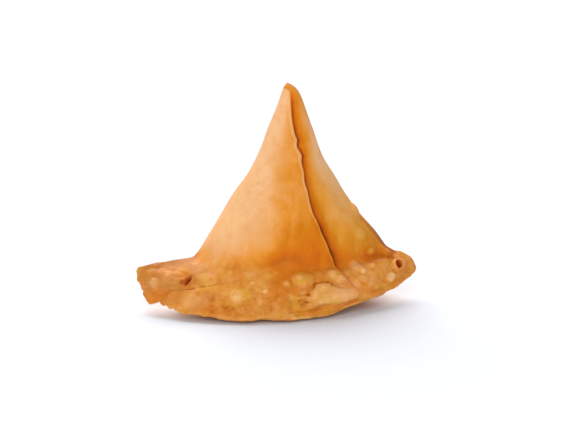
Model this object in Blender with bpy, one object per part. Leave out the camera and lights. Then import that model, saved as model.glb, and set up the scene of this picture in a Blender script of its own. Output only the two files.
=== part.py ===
"""An upright fried samosa: a rolled cone of dough with a lapped seam, pinched shut along a flared rim.

The crust is one closed skin on a grid of levels and columns. Every column starts at the tip, runs down the
front, turns round the sealed edge and comes back up the back to the tip, so the whole skin has no open side.
A level is a share of the way from the tip, 0, to the sealed edge, 1. A column is a share of the way from the
left fold, 0, to the right fold, 1. Relief is then added along the skin's own directions out.
Sizes are in metres: +X runs to the right along the rim, -Y is the front and +Z is up.
"""

import bpy
import numpy as np

# The filled cone, from the tip down: each side widens by its slope, and by its flare once the belly begins
HEIGHT = 0.0756
TIP_X = 0.0037
TIP_TURN = 0.0018
LEFT_BLUNT = 0.0012
LEFT_BLUNT_FADE = 0.006
RIGHT_BLUNT = 0.0036
RIGHT_BLUNT_FADE = 0.018
BODY_DEPTH = 0.0590
LEFT_SLOPE = 0.397
LEFT_FLARE = 0.117
LEFT_FLARE_FROM = 0.018
LEFT_FLARE_TO = 0.052
RIGHT_SLOPE = 0.446
RIGHT_FLARE = 0.122
RIGHT_FLARE_FROM = 0.026
RIGHT_FLARE_TO = 0.055
FRONT_SLOPE = 0.27
FRONT_FLARE = 0.07
BACK_SLOPE = 0.26
BACK_FLARE = 0.08
BELLY_FROM = 0.010
BELLY_TO = 0.045
WAIST_IN = 0.0025
WAIST_FROM = 0.046
WAIST_TO = 0.060

# The two ears and the sealed rim between them
SEAL = 0.75
SEAL_SOFT = 0.016
LEFT_EAR = 0.0201
LEFT_EAR_DROP = 0.0023
LEFT_EAR_DROP_POWER = 0.6
LEFT_EAR_FORWARD = 0.0074
LEFT_FOLD_FORWARD = 0.0025
LEFT_EAR_CROWD = 0.93
RIGHT_EAR = 0.0100
RIGHT_EAR_DROP = 0.0056
RIGHT_EAR_DROP_POWER = 2.2
RIGHT_EAR_BACK = 0.0078
RIM_FORWARD = 0.0101
RIM_FORWARD_POWER = 1.3
RIM_EDGE_Z = 0.0018
RIM_LEFT_FULL = 0.45
RIM_CURVE = 1.6
HEEL_Y = 0.0120
HEEL_SHARE = 0.40
EAR_CLOSE = 2.1
FRONT_THICK = 0.0019
BACK_THICK = 0.0007
EDGE_THIN = 0.70
EDGE_THIN_FROM = 0.90
FOLD_ROUND = 0.0020
THICK_FROM = 0.70
THICK_TO = 0.87

# The lap of the rolled cone: the left layer lies on the right one and stops short of the rim's edge
LAP_COLUMN = 0.65
LAP_SIDE = 0.365
LAP_KICK = 1.18
LAP_KICK_FROM = 0.45
LAP_KICK_POWER = 2.3
LAP_TOP = 0.0024
LAP_END = 0.0290
LAP_SOFT = 0.0008
LAP_EDGE = 0.0003
LAP_RISE = 0.0010
LAP_FADE = 0.0110
LAP_SINK = 0.0011
LAP_SINK_FADE = 0.0080
LAP_SINK_RIM = 0.4
LAP_WANDER = (0.00022, 0.0070)
GROOVE = 0.0007
GROOVE_TOP = 0.0011
GROOVE_WIDTH = 0.0007
OVERHANG = 0.0007
OVERHANG_FADE = 0.0014
SETBACK = 0.0014
SETBACK_MORE = 0.0021
SETBACK_ACROSS = 0.335
SETBACK_SPREAD = 0.09
SETBACK_END = 0.020
SETBACK_WANDER = (0.0003, 0.0040)

# The bend where the cone runs into the rim, and the belly of filling above it
CREASE = 0.0001
CREASE_MORE = 0.0013
CREASE_LEVEL = 0.758
CREASE_WIDTH = 0.028
BELLY = 0.0008
BELLY_LEVEL = 0.66
BELLY_WIDTH = 0.07

# The tuck down the middle of the back
TUCK_X = -0.0030
TUCK_LEAN = 0.10
TUCK_RISE = 0.0013
TUCK_EDGE = 0.0007
TUCK_FADE = 0.0085
TUCK_GROOVE = 0.0016
TUCK_WANDER = (0.0004, 0.0090)

# How far the whole piece sits into its flat underside, and how near the floor counts as flat
REST_SINK = 0.0005
FLAT_WITHIN = 0.0001

# Unevenness of the crust: height and size of the waves
RIM_BUMPS = (0.00016, 0.0072)
RIM_GRAIN = (0.00003, 0.0027)
FOLD_ROUGH = 0.25
CONE_BUMPS = (0.00018, 0.0140)
CONE_PANELS = (0.00014, 0.0085)
PANEL_STRETCH = 4.0
EDGE_WANDER = (0.00026, 0.0090)
EDGE_TEETH = (0.00006, 0.0028)
WAVE_COUNT = 20

# Places where the sealed edge dips in: how far right, half width and depth; a bulge has a depth below 0
EDGE_DIPS = [
    (-0.0470, 0.0035, 0.0007),
    (-0.0400, 0.0030, -0.0028),
    (-0.0384, 0.0009, 0.0018),
    (-0.0310, 0.0060, -0.0011),
    (-0.0125, 0.0060, -0.0006),
    (-0.0045, 0.0055, 0.0007),
    (0.0100, 0.0040, 0.0006),
    (0.0280, 0.0080, 0.0022),
    (0.0344, 0.0014, 0.0006),
    (0.0390, 0.0080, 0.0014),
    (0.0440, 0.0035, 0.0005),
]

# Blisters and hollows of the front: column, level, half width, half height, rise, squareness
BLISTERS = [
    (0.299, 0.923, 0.0104, 0.0038, 0.00130, 3.0),
    (0.200, 0.952, 0.0030, 0.0024, 0.00050, 2.0),
    (0.274, 0.947, 0.0022, 0.0018, 0.00090, 2.0),
    (0.252, 0.860, 0.0028, 0.0022, 0.00050, 2.0),
    (0.307, 0.910, 0.0017, 0.0014, 0.00030, 2.0),
    (0.335, 0.880, 0.0010, 0.0024, -0.00120, 2.0),
    (0.340, 0.847, 0.0042, 0.0026, 0.00050, 2.0),
    (0.310, 0.797, 0.0031, 0.0024, 0.00040, 2.0),
    (0.481, 0.903, 0.0028, 0.0022, 0.00045, 2.0),
    (0.515, 0.877, 0.0013, 0.0010, 0.00035, 2.0),
    (0.555, 0.817, 0.0041, 0.0030, 0.00070, 2.0),
    (0.530, 0.837, 0.0015, 0.0014, 0.00035, 2.0),
    (0.578, 0.890, 0.0017, 0.0008, 0.00030, 2.0),
    (0.461, 0.773, 0.0013, 0.0009, 0.00025, 2.0),
    (0.626, 0.807, 0.0016, 0.0018, 0.00040, 2.0),
    (0.638, 0.845, 0.0018, 0.0015, 0.00040, 2.0),
    (0.619, 0.917, 0.0092, 0.0034, 0.00075, 5.0),
    (0.600, 0.950, 0.0020, 0.0017, 0.00030, 2.0),
    (0.721, 0.780, 0.0024, 0.0018, 0.00070, 2.0),
    (0.726, 0.825, 0.0016, 0.0011, 0.00040, 2.0),
    (0.772, 0.813, 0.0015, 0.0010, 0.00035, 2.0),
    (0.691, 0.887, 0.0036, 0.0027, 0.00040, 2.0),
    (0.716, 0.952, 0.0026, 0.0013, 0.00035, 2.0),
    (0.824, 0.828, 0.0028, 0.0017, 0.00045, 2.0),
    (0.790, 0.940, 0.0029, 0.0019, 0.00060, 2.0),
    (0.874, 0.899, 0.0042, 0.0026, 0.00090, 3.0),
    (0.868, 0.893, 0.0018, 0.0016, -0.00150, 4.0),
    (0.965, 0.556, 0.0034, 0.0030, 0.00090, 2.0),
    (0.835, 0.642, 0.0030, 0.0023, 0.00030, 2.0),
    (0.834, 0.725, 0.0020, 0.0012, 0.00030, 2.0),
]
PINCH = 0.14
BLISTER_REACH = 0.009

# Low blisters scattered over the back: how many, least and greatest size, least and greatest steepness
BACK_BLISTERS = 16
BACK_BLISTER_SIZE = (0.0015, 0.0034)
BACK_BLISTER_STEEP = (0.10, 0.22)

# The grid
COLUMNS = 150
LEVELS = 120
EDGE_ROWS = 5
TRIANGLES = 11000


def step(low, high, x):
    """Smooth rise from 0 at low to 1 at high."""
    t = np.clip((x - low) / (high - low), 0.0, 1.0)
    return t * t * (3.0 - 2.0 * t)


def hump(x, middle, width):
    """Smooth hump, 1 in its middle."""
    return np.exp(-(((x - middle) / width) ** 2))


def ramp(x, soft):
    """0 below 0 and x above it, with a bend as wide as soft."""
    return soft * np.logaddexp(0.0, x / soft)


def mix(a, b, t):
    """a where t is 0 and b where t is 1."""
    return a + (b - a) * t


def unit(vectors):
    """The same directions with length 1."""
    return vectors / np.maximum(np.linalg.norm(vectors, axis=-1, keepdims=True), 1e-12)


def spread(count, crowds):
    """Grid lines from 0 to 1; each crowd is (place, width, how many times denser the lines get there)."""
    x = np.linspace(0.0, 1.0, 4001)
    density = 1.0 + sum(more * hump(x, place, width) for place, width, more in crowds)
    share = np.concatenate([[0.0], np.cumsum((density[1:] + density[:-1]) / 2.0)])
    return np.interp(np.linspace(0.0, 1.0, count + 1), share / share[-1], x)


def waves(points, size, seed):
    """Smooth bumps about as wide as size, mostly between -1 and 1: a sum of sines in seeded directions."""
    rng = np.random.default_rng(seed)
    total = np.zeros(points.shape[:-1])
    for _ in range(WAVE_COUNT):
        direction = unit(rng.normal(size=3))
        length = size * rng.uniform(0.7, 1.6)
        total += np.sin(points @ direction * (2.0 * np.pi / length) + rng.uniform(0.0, 2.0 * np.pi))
    return total / np.sqrt(WAVE_COUNT)


def lap_side(level):
    """How far right of the middle the lap runs, as a share of the half width: it swings over below the tip,
    and kicks out further and further from LAP_KICK_FROM down."""
    kick = LAP_KICK * np.maximum(level - LAP_KICK_FROM, 0.0) ** LAP_KICK_POWER
    return LAP_SIDE * step(0.02, 0.38, level) + kick


def angles(level, column, front):
    """Angle round the loop, 0 at the left fold and pi at the right, with one column held on the lap. In the
    left ear the columns crowd towards the fold, where the loop turns sharply."""
    lap = np.arccos(-lap_side(level if front else np.ones_like(level)))
    share = np.minimum(column / LAP_COLUMN, 1.0)
    left = lap * mix(share, share**2, step(SEAL, LEFT_EAR_CROWD, level))
    right = lap + (np.pi - lap) * (column - LAP_COLUMN) / (1.0 - LAP_COLUMN)
    return np.where(column < LAP_COLUMN, left, right)


def sheet(level, column, front):
    """Middle of the front or back sheet. Each level is a loop hung between the left and the right fold, and
    it bows out to the middle line of its sheet by a power of the sine of its angle. Below the seal the back
    sheet keeps close behind the front one in the ears and fans out under the filling."""
    past = ramp(level - SEAL, SEAL_SOFT)
    depth = BODY_DEPTH * np.maximum(level - past, 0.0) / SEAL
    rim = past / (1.0 - SEAL)
    body = depth / BODY_DEPTH

    round_off = 1.0 - np.exp(-depth / TIP_TURN)
    left_blunt = LEFT_BLUNT * round_off * np.exp(-depth / LEFT_BLUNT_FADE)
    right_blunt = RIGHT_BLUNT * round_off * np.exp(-depth / RIGHT_BLUNT_FADE)
    blunt = (left_blunt + right_blunt) / 2.0
    left_flare = LEFT_FLARE * step(LEFT_FLARE_FROM, LEFT_FLARE_TO, depth)
    right_flare = RIGHT_FLARE * step(RIGHT_FLARE_FROM, RIGHT_FLARE_TO, depth)
    left_x = TIP_X - left_blunt - depth * (LEFT_SLOPE + left_flare) - LEFT_EAR * rim
    right_x = TIP_X + right_blunt + depth * (RIGHT_SLOPE + right_flare) + RIGHT_EAR * rim
    left_y = -LEFT_FOLD_FORWARD * body**2 - (LEFT_EAR_FORWARD - LEFT_FOLD_FORWARD) * rim
    right_y = RIGHT_EAR_BACK * body**1.5
    left_z = HEIGHT - depth - LEFT_EAR_DROP * rim**LEFT_EAR_DROP_POWER
    right_z = HEIGHT - depth - RIGHT_EAR_DROP * rim**RIGHT_EAR_DROP_POWER
    belly = step(BELLY_FROM, BELLY_TO, depth)
    front_y = WAIST_IN * step(WAIST_FROM, WAIST_TO, depth) - 0.9 * blunt
    front_y = front_y - depth * (FRONT_SLOPE + FRONT_FLARE * belly) - RIM_FORWARD * rim**RIM_FORWARD_POWER
    front_z = HEIGHT - depth - (HEIGHT - BODY_DEPTH - RIM_EDGE_Z) * rim

    angle = angles(level, column, front)
    across = -np.cos(angle)
    bow = np.sin(angle)
    right = (1.0 + across) / 2.0
    low = np.clip(rim, 0.0, 1.0)
    bow_y = bow ** mix(1.0, RIM_CURVE, low)
    bow_z = bow ** mix(1.0, mix(RIM_LEFT_FULL, 1.0, right), low)
    points = np.empty(np.broadcast_shapes(level.shape, column.shape) + (3,))
    points[..., 0] = mix(left_x, right_x, right)
    points[..., 1] = mix(left_y, right_y, right) + (front_y - (left_y + right_y) / 2.0) * bow_y
    points[..., 2] = mix(left_z, right_z, right) + (front_z - (left_z + right_z) / 2.0) * bow_z
    if not front:
        turn = np.clip(rim / HEEL_SHARE, 0.0, 1.0) * np.pi / 2.0
        under = np.clip((rim - HEEL_SHARE) / (1.0 - HEEL_SHARE), 0.0, 1.0)
        back_y = 0.9 * blunt + depth * (BACK_SLOPE + BACK_FLARE * belly)
        back_y = mix(HEEL_Y, back_y, np.cos(turn)) + (front_y[-1, 0] - HEEL_Y) * under
        back_z = HEIGHT - depth - (HEIGHT - BODY_DEPTH) * np.sin(turn) + RIM_EDGE_Z * step(0.55, 1.0, rim)
        fan = bow ** mix(1.0, EAR_CLOSE, step(-0.05, 0.50, rim))
        points[..., 1] += (back_y - front_y) * fan
        points[..., 2] += (back_z - front_z) * fan
    return points, across, bow


def thicken(points, level, thick):
    """Moves a sheet out by its share of the dough's thickness, rounded off at the two folds by a quarter of
    an oval and thinner at the sealed edge."""
    out = unit(np.cross(np.gradient(points, axis=0), np.gradient(points, axis=1)))
    along = np.linalg.norm(np.diff(points, axis=1), axis=-1).cumsum(axis=1)
    along = np.concatenate([np.zeros_like(along[:, :1]), along], axis=1)
    from_fold = np.minimum(along, along[:, -1:] - along)
    rounding = np.sqrt(1.0 - (1.0 - np.clip(from_fold / FOLD_ROUND, 0.0, 1.0)) ** 2)
    thick = thick * mix(1.0, EDGE_THIN, step(EDGE_THIN_FROM, 1.0, level)) * step(THICK_FROM, THICK_TO, level)
    return points + out * (thick * rounding)[..., None]


def roll_turns():
    """Angles of the rows that go round the sealed edge, between 0 at the front and pi at the back."""
    return np.linspace(0.0, np.pi, EDGE_ROWS + 2)[1:-1]


def edge_roll(front_edge, back_edge, below):
    """Rows that close the skin round the sealed edge: half a turn from the front sheet to the back one."""
    middle = (front_edge + back_edge) / 2.0
    half = (front_edge - back_edge) / 2.0
    reach = np.linalg.norm(half, axis=-1, keepdims=True)
    return np.array([middle + half * np.cos(t) + below * reach * np.sin(t) for t in roll_turns()])


def skin_index():
    """Vertex numbers of the grid: both tip rows are one point, and both folds are sewn shut."""
    rows = 2 * (LEVELS + 1) + EDGE_ROWS
    index = np.arange(rows * (COLUMNS + 1)).reshape(rows, COLUMNS + 1)
    level = np.concatenate([np.arange(LEVELS + 1), np.full(EDGE_ROWS, LEVELS), np.arange(LEVELS, -1, -1)])
    for fold in (0, COLUMNS):
        index[:, fold] = index[level, fold]
    index[level == 0, :] = index[0, 0]
    return index


def grid_normals(points, index):
    """Unit directions out of the closed skin: the sum of the faces round each vertex."""
    across = points[:-1, 1:] - points[1:, :-1]
    down = points[1:, 1:] - points[:-1, :-1]
    faces = np.cross(down, across)
    total = np.zeros((index.size, 3))
    for corner in (index[:-1, :-1], index[1:, :-1], index[1:, 1:], index[:-1, 1:]):
        np.add.at(total, corner.reshape(-1), faces.reshape(-1, 3))
    return unit(total[index])


def lookup(grid, levels, columns, level, column):
    """Value of a front grid between its lines."""
    row = np.interp(level, levels, np.arange(len(levels)))
    place = np.interp(column, columns, np.arange(len(columns)))
    i = min(int(row), len(levels) - 2)
    j = min(int(place), len(columns) - 2)
    upper = mix(grid[i, j], grid[i, j + 1], place - j)
    lower = mix(grid[i + 1, j], grid[i + 1, j + 1], place - j)
    return mix(upper, lower, row - i)


def lap_relief(points, face, level, column, across, bow, below):
    """The step, the groove and the overhang along the end of the left layer, on the front only. The layer's
    outline is the soft least of four distances: left of the lap, above the rim's edge, below the tip and left
    of the upright line that cuts off its lower corner."""
    right_way = np.diff(points, axis=1, append=points[:, -1:] * 2.0 - points[:, -2:-1])
    down_way = np.diff(points, axis=0, append=points[-1:] * 2.0 - points[-2:-1])
    width = np.linalg.norm(right_way, axis=-1)
    along = np.cumsum(width, axis=1) - width
    from_lap = np.array([np.interp(LAP_COLUMN, column[0], row) for row in along])[:, None] - along
    from_lap = from_lap + LAP_WANDER[0] * waves(points, LAP_WANDER[1], 32) * step(0.1, 0.3, level)
    fall = np.linalg.norm(down_way[:LEVELS + 1], axis=-1)
    from_tip = np.zeros_like(from_lap)
    from_tip[:LEVELS + 1] = np.cumsum(fall, axis=0) - fall
    from_tip[LEVELS + 1:] = from_tip[LEVELS]
    setback = SETBACK + SETBACK_MORE * hump(across, SETBACK_ACROSS, SETBACK_SPREAD)
    setback = setback - SETBACK_END * (1.0 - step(0.02, 0.14, across))
    setback = setback + SETBACK_WANDER[0] * waves(points, SETBACK_WANDER[1], 31)
    from_corner = LAP_END - points[..., 0]
    sides = np.stack([from_lap, from_tip[LEVELS] - from_tip - setback, from_tip - LAP_TOP, from_corner])
    weights = np.exp(-np.clip(sides, -0.02, 0.02) / LAP_SOFT)
    total = weights.sum(axis=0)
    inside = np.where(sides.min(axis=0) < 0.01, -LAP_SOFT * np.log(total), 0.01)

    inner = face * step(0.0, 0.45, bow)
    lifted = step(-LAP_EDGE, LAP_EDGE, inside)
    proud = step(0.10, 0.42, level)
    height = LAP_RISE * proud * lifted * np.exp(-np.clip(from_lap, 0.0, None) / LAP_FADE)
    sink = LAP_SINK * mix(1.0, LAP_SINK_RIM, step(0.84, 0.95, level))
    height = height - sink * proud * (1.0 - lifted) * np.exp(np.minimum(from_lap, 0.0) / LAP_SINK_FADE)
    groove = mix(GROOVE_TOP, GROOVE, proud) * step(0.0, 0.12, level)
    height = height - groove * hump(inside, -0.7 * GROOVE_WIDTH, GROOVE_WIDTH)
    lip = OVERHANG * lifted * np.exp(-np.clip(inside, 0.0, None) / OVERHANG_FADE)
    lip = lip * step(0.08, 0.30, level) * inner / total
    right_lip = (weights[0] + weights[3]) * lip
    shift = right_lip[..., None] * unit(right_way) + (weights[1] * lip)[..., None] * below
    return height * inner, shift


def bend_relief(level, across, face):
    """The crease between the cone and the rim, deepest by the lap, and the belly of filling above it."""
    crease = mix(CREASE, CREASE_MORE, step(-0.1, 0.45, across) * (1.0 - step(0.75, 0.95, across)))
    belly = BELLY * hump(level, BELLY_LEVEL, BELLY_WIDTH) * (1.0 - across**2)
    return face * (belly - crease * hump(level, CREASE_LEVEL, CREASE_WIDTH))


def tuck_relief(points, level, face):
    """The fold of dough that runs down the middle of the back and tucks in under the heel."""
    past = points[..., 0] - TUCK_X - TUCK_LEAN * (points[..., 2] - HEIGHT / 2.0)
    past = past + TUCK_WANDER[0] * waves(points, TUCK_WANDER[1], 33)
    ridge = step(-TUCK_EDGE, TUCK_EDGE, past) * np.exp(-np.clip(past, 0.0, None) / TUCK_FADE)
    valley = 0.6 * hump(past, -TUCK_EDGE, TUCK_GROOVE)
    shown = (1.0 - face) * step(0.30, 0.62, level) * (1.0 - step(0.87, 0.93, level))
    return TUCK_RISE * (ridge - valley) * shown


def rough_relief(points, level, bow):
    """Bumps of the fried crust: small and many on the rim, fainter by its two folds, and broad and faint on
    the cone."""
    upright = points * (1.0, 1.0, 1.0 / PANEL_STRETCH)
    rough = RIM_BUMPS[0] * waves(points, RIM_BUMPS[1], 11)
    rough = rough + RIM_GRAIN[0] * waves(points, RIM_GRAIN[1], 12)
    rough = rough * mix(FOLD_ROUGH, 1.0, step(0.15, 0.60, bow))
    smooth = CONE_BUMPS[0] * waves(points, CONE_BUMPS[1], 13)
    smooth = smooth + CONE_PANELS[0] * waves(upright, CONE_PANELS[1], 14)
    return mix(smooth * step(0.0, 0.25, level), rough, step(0.72, 0.90, level))


def edge_wander(edge):
    """How far the sealed edge strays out from its smooth line, with a sharp notch in the left ear."""
    stray = EDGE_WANDER[0] * waves(edge, EDGE_WANDER[1], 21) + EDGE_TEETH[0] * waves(edge, EDGE_TEETH[1], 22)
    return stray - sum(depth * hump(edge[:, 0], place, half) for place, half, depth in EDGE_DIPS)


def blister(points, normals, centre, axis, half_width, half_height, square):
    """An oval swelling, 1 in its middle and 0 outside, with a shallow pinch round its foot. It shows only on
    the skin that faces the same way as its axis; the higher square is, the flatter its top."""
    aside = unit(np.cross((0.0, 0.0, 1.0), axis))
    up = np.cross(axis, aside)
    away = points - centre
    reach = np.hypot(away @ aside / half_width, away @ up / half_height)
    dome = np.clip(1.0 - reach**square, 0.0, 1.0)
    close = 1.0 - step(BLISTER_REACH / 2.0, BLISTER_REACH, np.abs(away @ axis))
    return (dome - PINCH * hump(reach, 1.12, 0.12)) * step(-0.1, 0.5, normals @ axis) * close


def front_blisters(points, normals, levels, columns):
    """The blisters, swellings and hollows of the front, each at its own column and level."""
    height = np.zeros(points.shape[:-1])
    for column, level, half_width, half_height, rise, square in BLISTERS:
        centre = lookup(points, levels, columns, level, column)
        axis = unit(lookup(normals, levels, columns, level, column))
        height += rise * blister(points, normals, centre, axis, half_width, half_height, square)
    return height


def back_blisters(points, normals, levels, columns):
    """Low blisters scattered over the back by seeded chance."""
    rng = np.random.default_rng(41)
    height = np.zeros(points.shape[:-1])
    for _ in range(BACK_BLISTERS):
        level = rng.uniform(0.25, 0.95)
        column = rng.uniform(0.42, 0.80)
        size = rng.uniform(*BACK_BLISTER_SIZE)
        rise = size * rng.uniform(*BACK_BLISTER_STEEP)
        centre = lookup(points[::-1], levels, columns, level, column)
        axis = unit(lookup(normals[::-1], levels, columns, level, column))
        height += rise * blister(points, normals, centre, axis, size * 1.2, size, 2.0)
    return height


def all_rows(front, back):
    """Front rows, their last one again for each row round the edge, then the back rows from the edge up."""
    return np.concatenate([front, np.repeat(front[-1:], EDGE_ROWS, axis=0), back[::-1]])


def skin():
    """Grid of the whole skin, from the tip down the front, round the edge and up the back to the tip."""
    columns = spread(COLUMNS, [(LAP_COLUMN, 0.02, 3.5), (0.87, 0.03, 1.0)])
    levels = spread(LEVELS, [(0.0, 0.02, 4.0), (0.90, 0.10, 1.6)])
    column = columns[None, :]
    level = levels[:, None]
    front, front_across, front_bow = sheet(level, column, True)
    back, back_across, back_bow = sheet(level, column, False)
    below = unit(front[-1] - front[-2])
    front = thicken(front, level, FRONT_THICK)
    back = thicken(back, level, -BACK_THICK)
    index = skin_index()
    points = np.concatenate([front, edge_roll(front[-1], back[-1], below), back[::-1]])
    points = points.reshape(-1, 3)[index]
    normals = grid_normals(points, index)

    row_level = np.concatenate([levels, np.ones(EDGE_ROWS), levels[::-1]])[:, None]
    turn = np.concatenate([np.ones(LEVELS + 1), np.cos(roll_turns()), -np.ones(LEVELS + 1)])[:, None]
    face = step(-0.6, 0.6, turn) * np.ones_like(column)
    bow = all_rows(front_bow, back_bow)
    across = all_rows(front_across, back_across)

    height, shift = lap_relief(points, face, row_level, column, across, bow, below)
    height = height + bend_relief(row_level, across, face)
    height = height + tuck_relief(points, row_level, face)
    height = height + rough_relief(points, row_level, bow)
    height = height + front_blisters(points, normals, levels, columns)
    height = height + back_blisters(points, normals, levels, columns)
    shift = shift + below * (edge_wander(points[LEVELS]) * step(0.84, 1.0, row_level))[..., None]
    points = points + normals * height[..., None] + shift
    points[..., 2] = np.maximum(points[..., 2] - REST_SINK, 0.0)
    return points.reshape(-1, 3)[index], index


def skin_mesh(name, points, index):
    """The closed mesh of the skin, with unused grid points left out."""
    used, first, number = np.unique(index, return_index=True, return_inverse=True)
    number = number.reshape(index.shape)
    quads = np.stack([number[:-1, :-1], number[1:, :-1], number[1:, 1:], number[:-1, 1:]], axis=-1)
    faces = []
    for quad in quads.reshape(-1, 4).tolist():
        corners = [c for i, c in enumerate(quad) if c != quad[i - 1]]
        if len(set(corners)) > 2:
            faces.append(corners)
    mesh = bpy.data.meshes.new(name)
    mesh.from_pydata(points.reshape(-1, 3)[first], [], faces)
    mesh.validate()
    return mesh


def thin_out(crust):
    """Keeps the shape with fewer triangles, more of them where the skin bends most."""
    fewer = crust.modifiers.new("fewer triangles", "DECIMATE")
    fewer.ratio = TRIANGLES / (4.0 * COLUMNS * LEVELS)
    evaluated = crust.evaluated_get(bpy.context.evaluated_depsgraph_get())
    crust.data = bpy.data.meshes.new_from_object(evaluated)
    crust.modifiers.clear()


def stand_on_origin(mesh):
    """Moves the middle of the mesh's box over the origin, with its underside flat on the floor."""
    places = np.empty(len(mesh.vertices) * 3)
    mesh.vertices.foreach_get("co", places)
    places = places.reshape(-1, 3)
    places[places[:, 2] < FLAT_WITHIN, 2] = 0.0
    middle = (places.min(axis=0) + places.max(axis=0)) / 2.0
    places[:, :2] -= middle[:2]
    mesh.vertices.foreach_set("co", places.reshape(-1))
    mesh.update()


def crust_material():
    """Golden brown fried dough."""
    material = bpy.data.materials.new("fried crust")
    material.use_nodes = True
    shader = material.node_tree.nodes["Principled BSDF"]
    shader.inputs["Base Color"].default_value = (0.72, 0.31, 0.085, 1.0)
    shader.inputs["Roughness"].default_value = 0.5
    shader.inputs["Metallic"].default_value = 0.0
    return material


def main():
    for old in list(bpy.data.objects):
        bpy.data.objects.remove(old)
    parts = bpy.data.collections.new("samosa")
    bpy.context.scene.collection.children.link(parts)
    crust = bpy.data.objects.new("samosa", skin_mesh("samosa", *skin()))
    parts.objects.link(crust)
    thin_out(crust)
    stand_on_origin(crust.data)
    crust.data.shade_smooth()
    crust.data.materials.clear()
    crust.data.materials.append(crust_material())


main()
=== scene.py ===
"""Looks of the upright fried samosa: its crust with blisters, lap and flaky rim, on a plain pale floor.

The crust is one closed skin on a grid of levels and columns, worked out from the same named sizes as the
solid. Every column starts at the tip, runs down the front, turns round the sealed edge and comes back up
the back. A level is a share of the way from the tip, 0, to the sealed edge, 1. A column is a share of the
way from the left fold, 0, to the right fold, 1. Sizes are in metres: +X runs to the right, -Y is the front
and +Z is up.
"""

import math

import bpy
import numpy as np
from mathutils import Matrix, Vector


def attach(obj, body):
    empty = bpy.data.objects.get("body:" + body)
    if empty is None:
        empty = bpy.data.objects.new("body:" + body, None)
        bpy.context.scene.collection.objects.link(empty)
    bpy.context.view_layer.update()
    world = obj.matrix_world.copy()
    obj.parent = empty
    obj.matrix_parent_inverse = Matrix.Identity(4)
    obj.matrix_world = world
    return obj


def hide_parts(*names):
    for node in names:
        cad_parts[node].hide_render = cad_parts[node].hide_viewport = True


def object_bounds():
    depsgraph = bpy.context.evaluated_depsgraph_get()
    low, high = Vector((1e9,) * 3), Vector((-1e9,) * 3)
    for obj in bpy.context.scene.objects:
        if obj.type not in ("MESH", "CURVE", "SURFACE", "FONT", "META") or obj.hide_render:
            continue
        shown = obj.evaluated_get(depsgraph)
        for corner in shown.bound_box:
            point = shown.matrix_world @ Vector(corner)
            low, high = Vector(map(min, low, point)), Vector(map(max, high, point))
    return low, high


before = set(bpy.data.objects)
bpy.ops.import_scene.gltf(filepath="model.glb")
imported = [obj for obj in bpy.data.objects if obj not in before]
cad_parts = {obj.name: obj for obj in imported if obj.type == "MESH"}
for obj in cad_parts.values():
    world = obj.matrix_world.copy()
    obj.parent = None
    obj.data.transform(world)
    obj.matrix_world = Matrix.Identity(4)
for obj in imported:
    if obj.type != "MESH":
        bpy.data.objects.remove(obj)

CAD_BOX = [list(corner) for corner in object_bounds()]

# The filled cone, from the tip down: each side widens by its slope, and by its flare once the belly begins
HEIGHT = 0.0756
TIP_X = 0.0037
TIP_TURN = 0.0018
LEFT_BLUNT = 0.0012
LEFT_BLUNT_FADE = 0.006
RIGHT_BLUNT = 0.0036
RIGHT_BLUNT_FADE = 0.018
BODY_DEPTH = 0.0590
LEFT_SLOPE = 0.397
LEFT_FLARE = 0.117
LEFT_FLARE_FROM = 0.018
LEFT_FLARE_TO = 0.052
RIGHT_SLOPE = 0.446
RIGHT_FLARE = 0.122
RIGHT_FLARE_FROM = 0.026
RIGHT_FLARE_TO = 0.055
FRONT_SLOPE = 0.27
FRONT_FLARE = 0.07
BACK_SLOPE = 0.26
BACK_FLARE = 0.08
BELLY_FROM = 0.010
BELLY_TO = 0.045
WAIST_IN = 0.0025
WAIST_FROM = 0.046
WAIST_TO = 0.060

# The two ears and the sealed rim between them
SEAL = 0.75
SEAL_SOFT = 0.016
LEFT_EAR = 0.0201
LEFT_EAR_DROP = 0.0023
LEFT_EAR_DROP_POWER = 0.6
LEFT_EAR_FORWARD = 0.0074
LEFT_FOLD_FORWARD = 0.0025
LEFT_EAR_CROWD = 0.93
RIGHT_EAR = 0.0100
RIGHT_EAR_DROP = 0.0056
RIGHT_EAR_DROP_POWER = 2.2
RIGHT_EAR_BACK = 0.0078
RIM_FORWARD = 0.0101
RIM_FORWARD_POWER = 1.3
RIM_EDGE_Z = 0.0018
RIM_LEFT_FULL = 0.45
RIM_CURVE = 1.6
HEEL_Y = 0.0120
HEEL_SHARE = 0.40
EAR_CLOSE = 2.1
FRONT_THICK = 0.0019
BACK_THICK = 0.0007
EDGE_THIN = 0.70
EDGE_THIN_FROM = 0.90
FOLD_ROUND = 0.0020
THICK_FROM = 0.70
THICK_TO = 0.87

# The lap of the rolled cone: the left layer lies on the right one and stops short of the rim's edge
LAP_COLUMN = 0.65
LAP_SIDE = 0.365
LAP_KICK = 1.18
LAP_KICK_FROM = 0.45
LAP_KICK_POWER = 2.3
LAP_TOP = 0.0024
LAP_END = 0.0290
LAP_SOFT = 0.0008
LAP_EDGE = 0.0003
LAP_RISE = 0.0010
LAP_FADE = 0.0110
LAP_SINK = 0.0011
LAP_SINK_FADE = 0.0080
LAP_SINK_RIM = 0.4
LAP_WANDER = (0.00022, 0.0070)
GROOVE = 0.0007
GROOVE_TOP = 0.0008
GROOVE_WIDTH = 0.0009
OVERHANG = 0.0003
OVERHANG_FADE = 0.0014
SETBACK = 0.0014
SETBACK_MORE = 0.0021
SETBACK_ACROSS = 0.335
SETBACK_SPREAD = 0.09
SETBACK_END = 0.020
SETBACK_WANDER = (0.0003, 0.0040)

# The bend where the cone runs into the rim, and the belly of filling above it
CREASE = 0.0001
CREASE_MORE = 0.0013
CREASE_LEVEL = 0.758
CREASE_WIDTH = 0.028
BELLY = 0.0008
BELLY_LEVEL = 0.66
BELLY_WIDTH = 0.07

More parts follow.
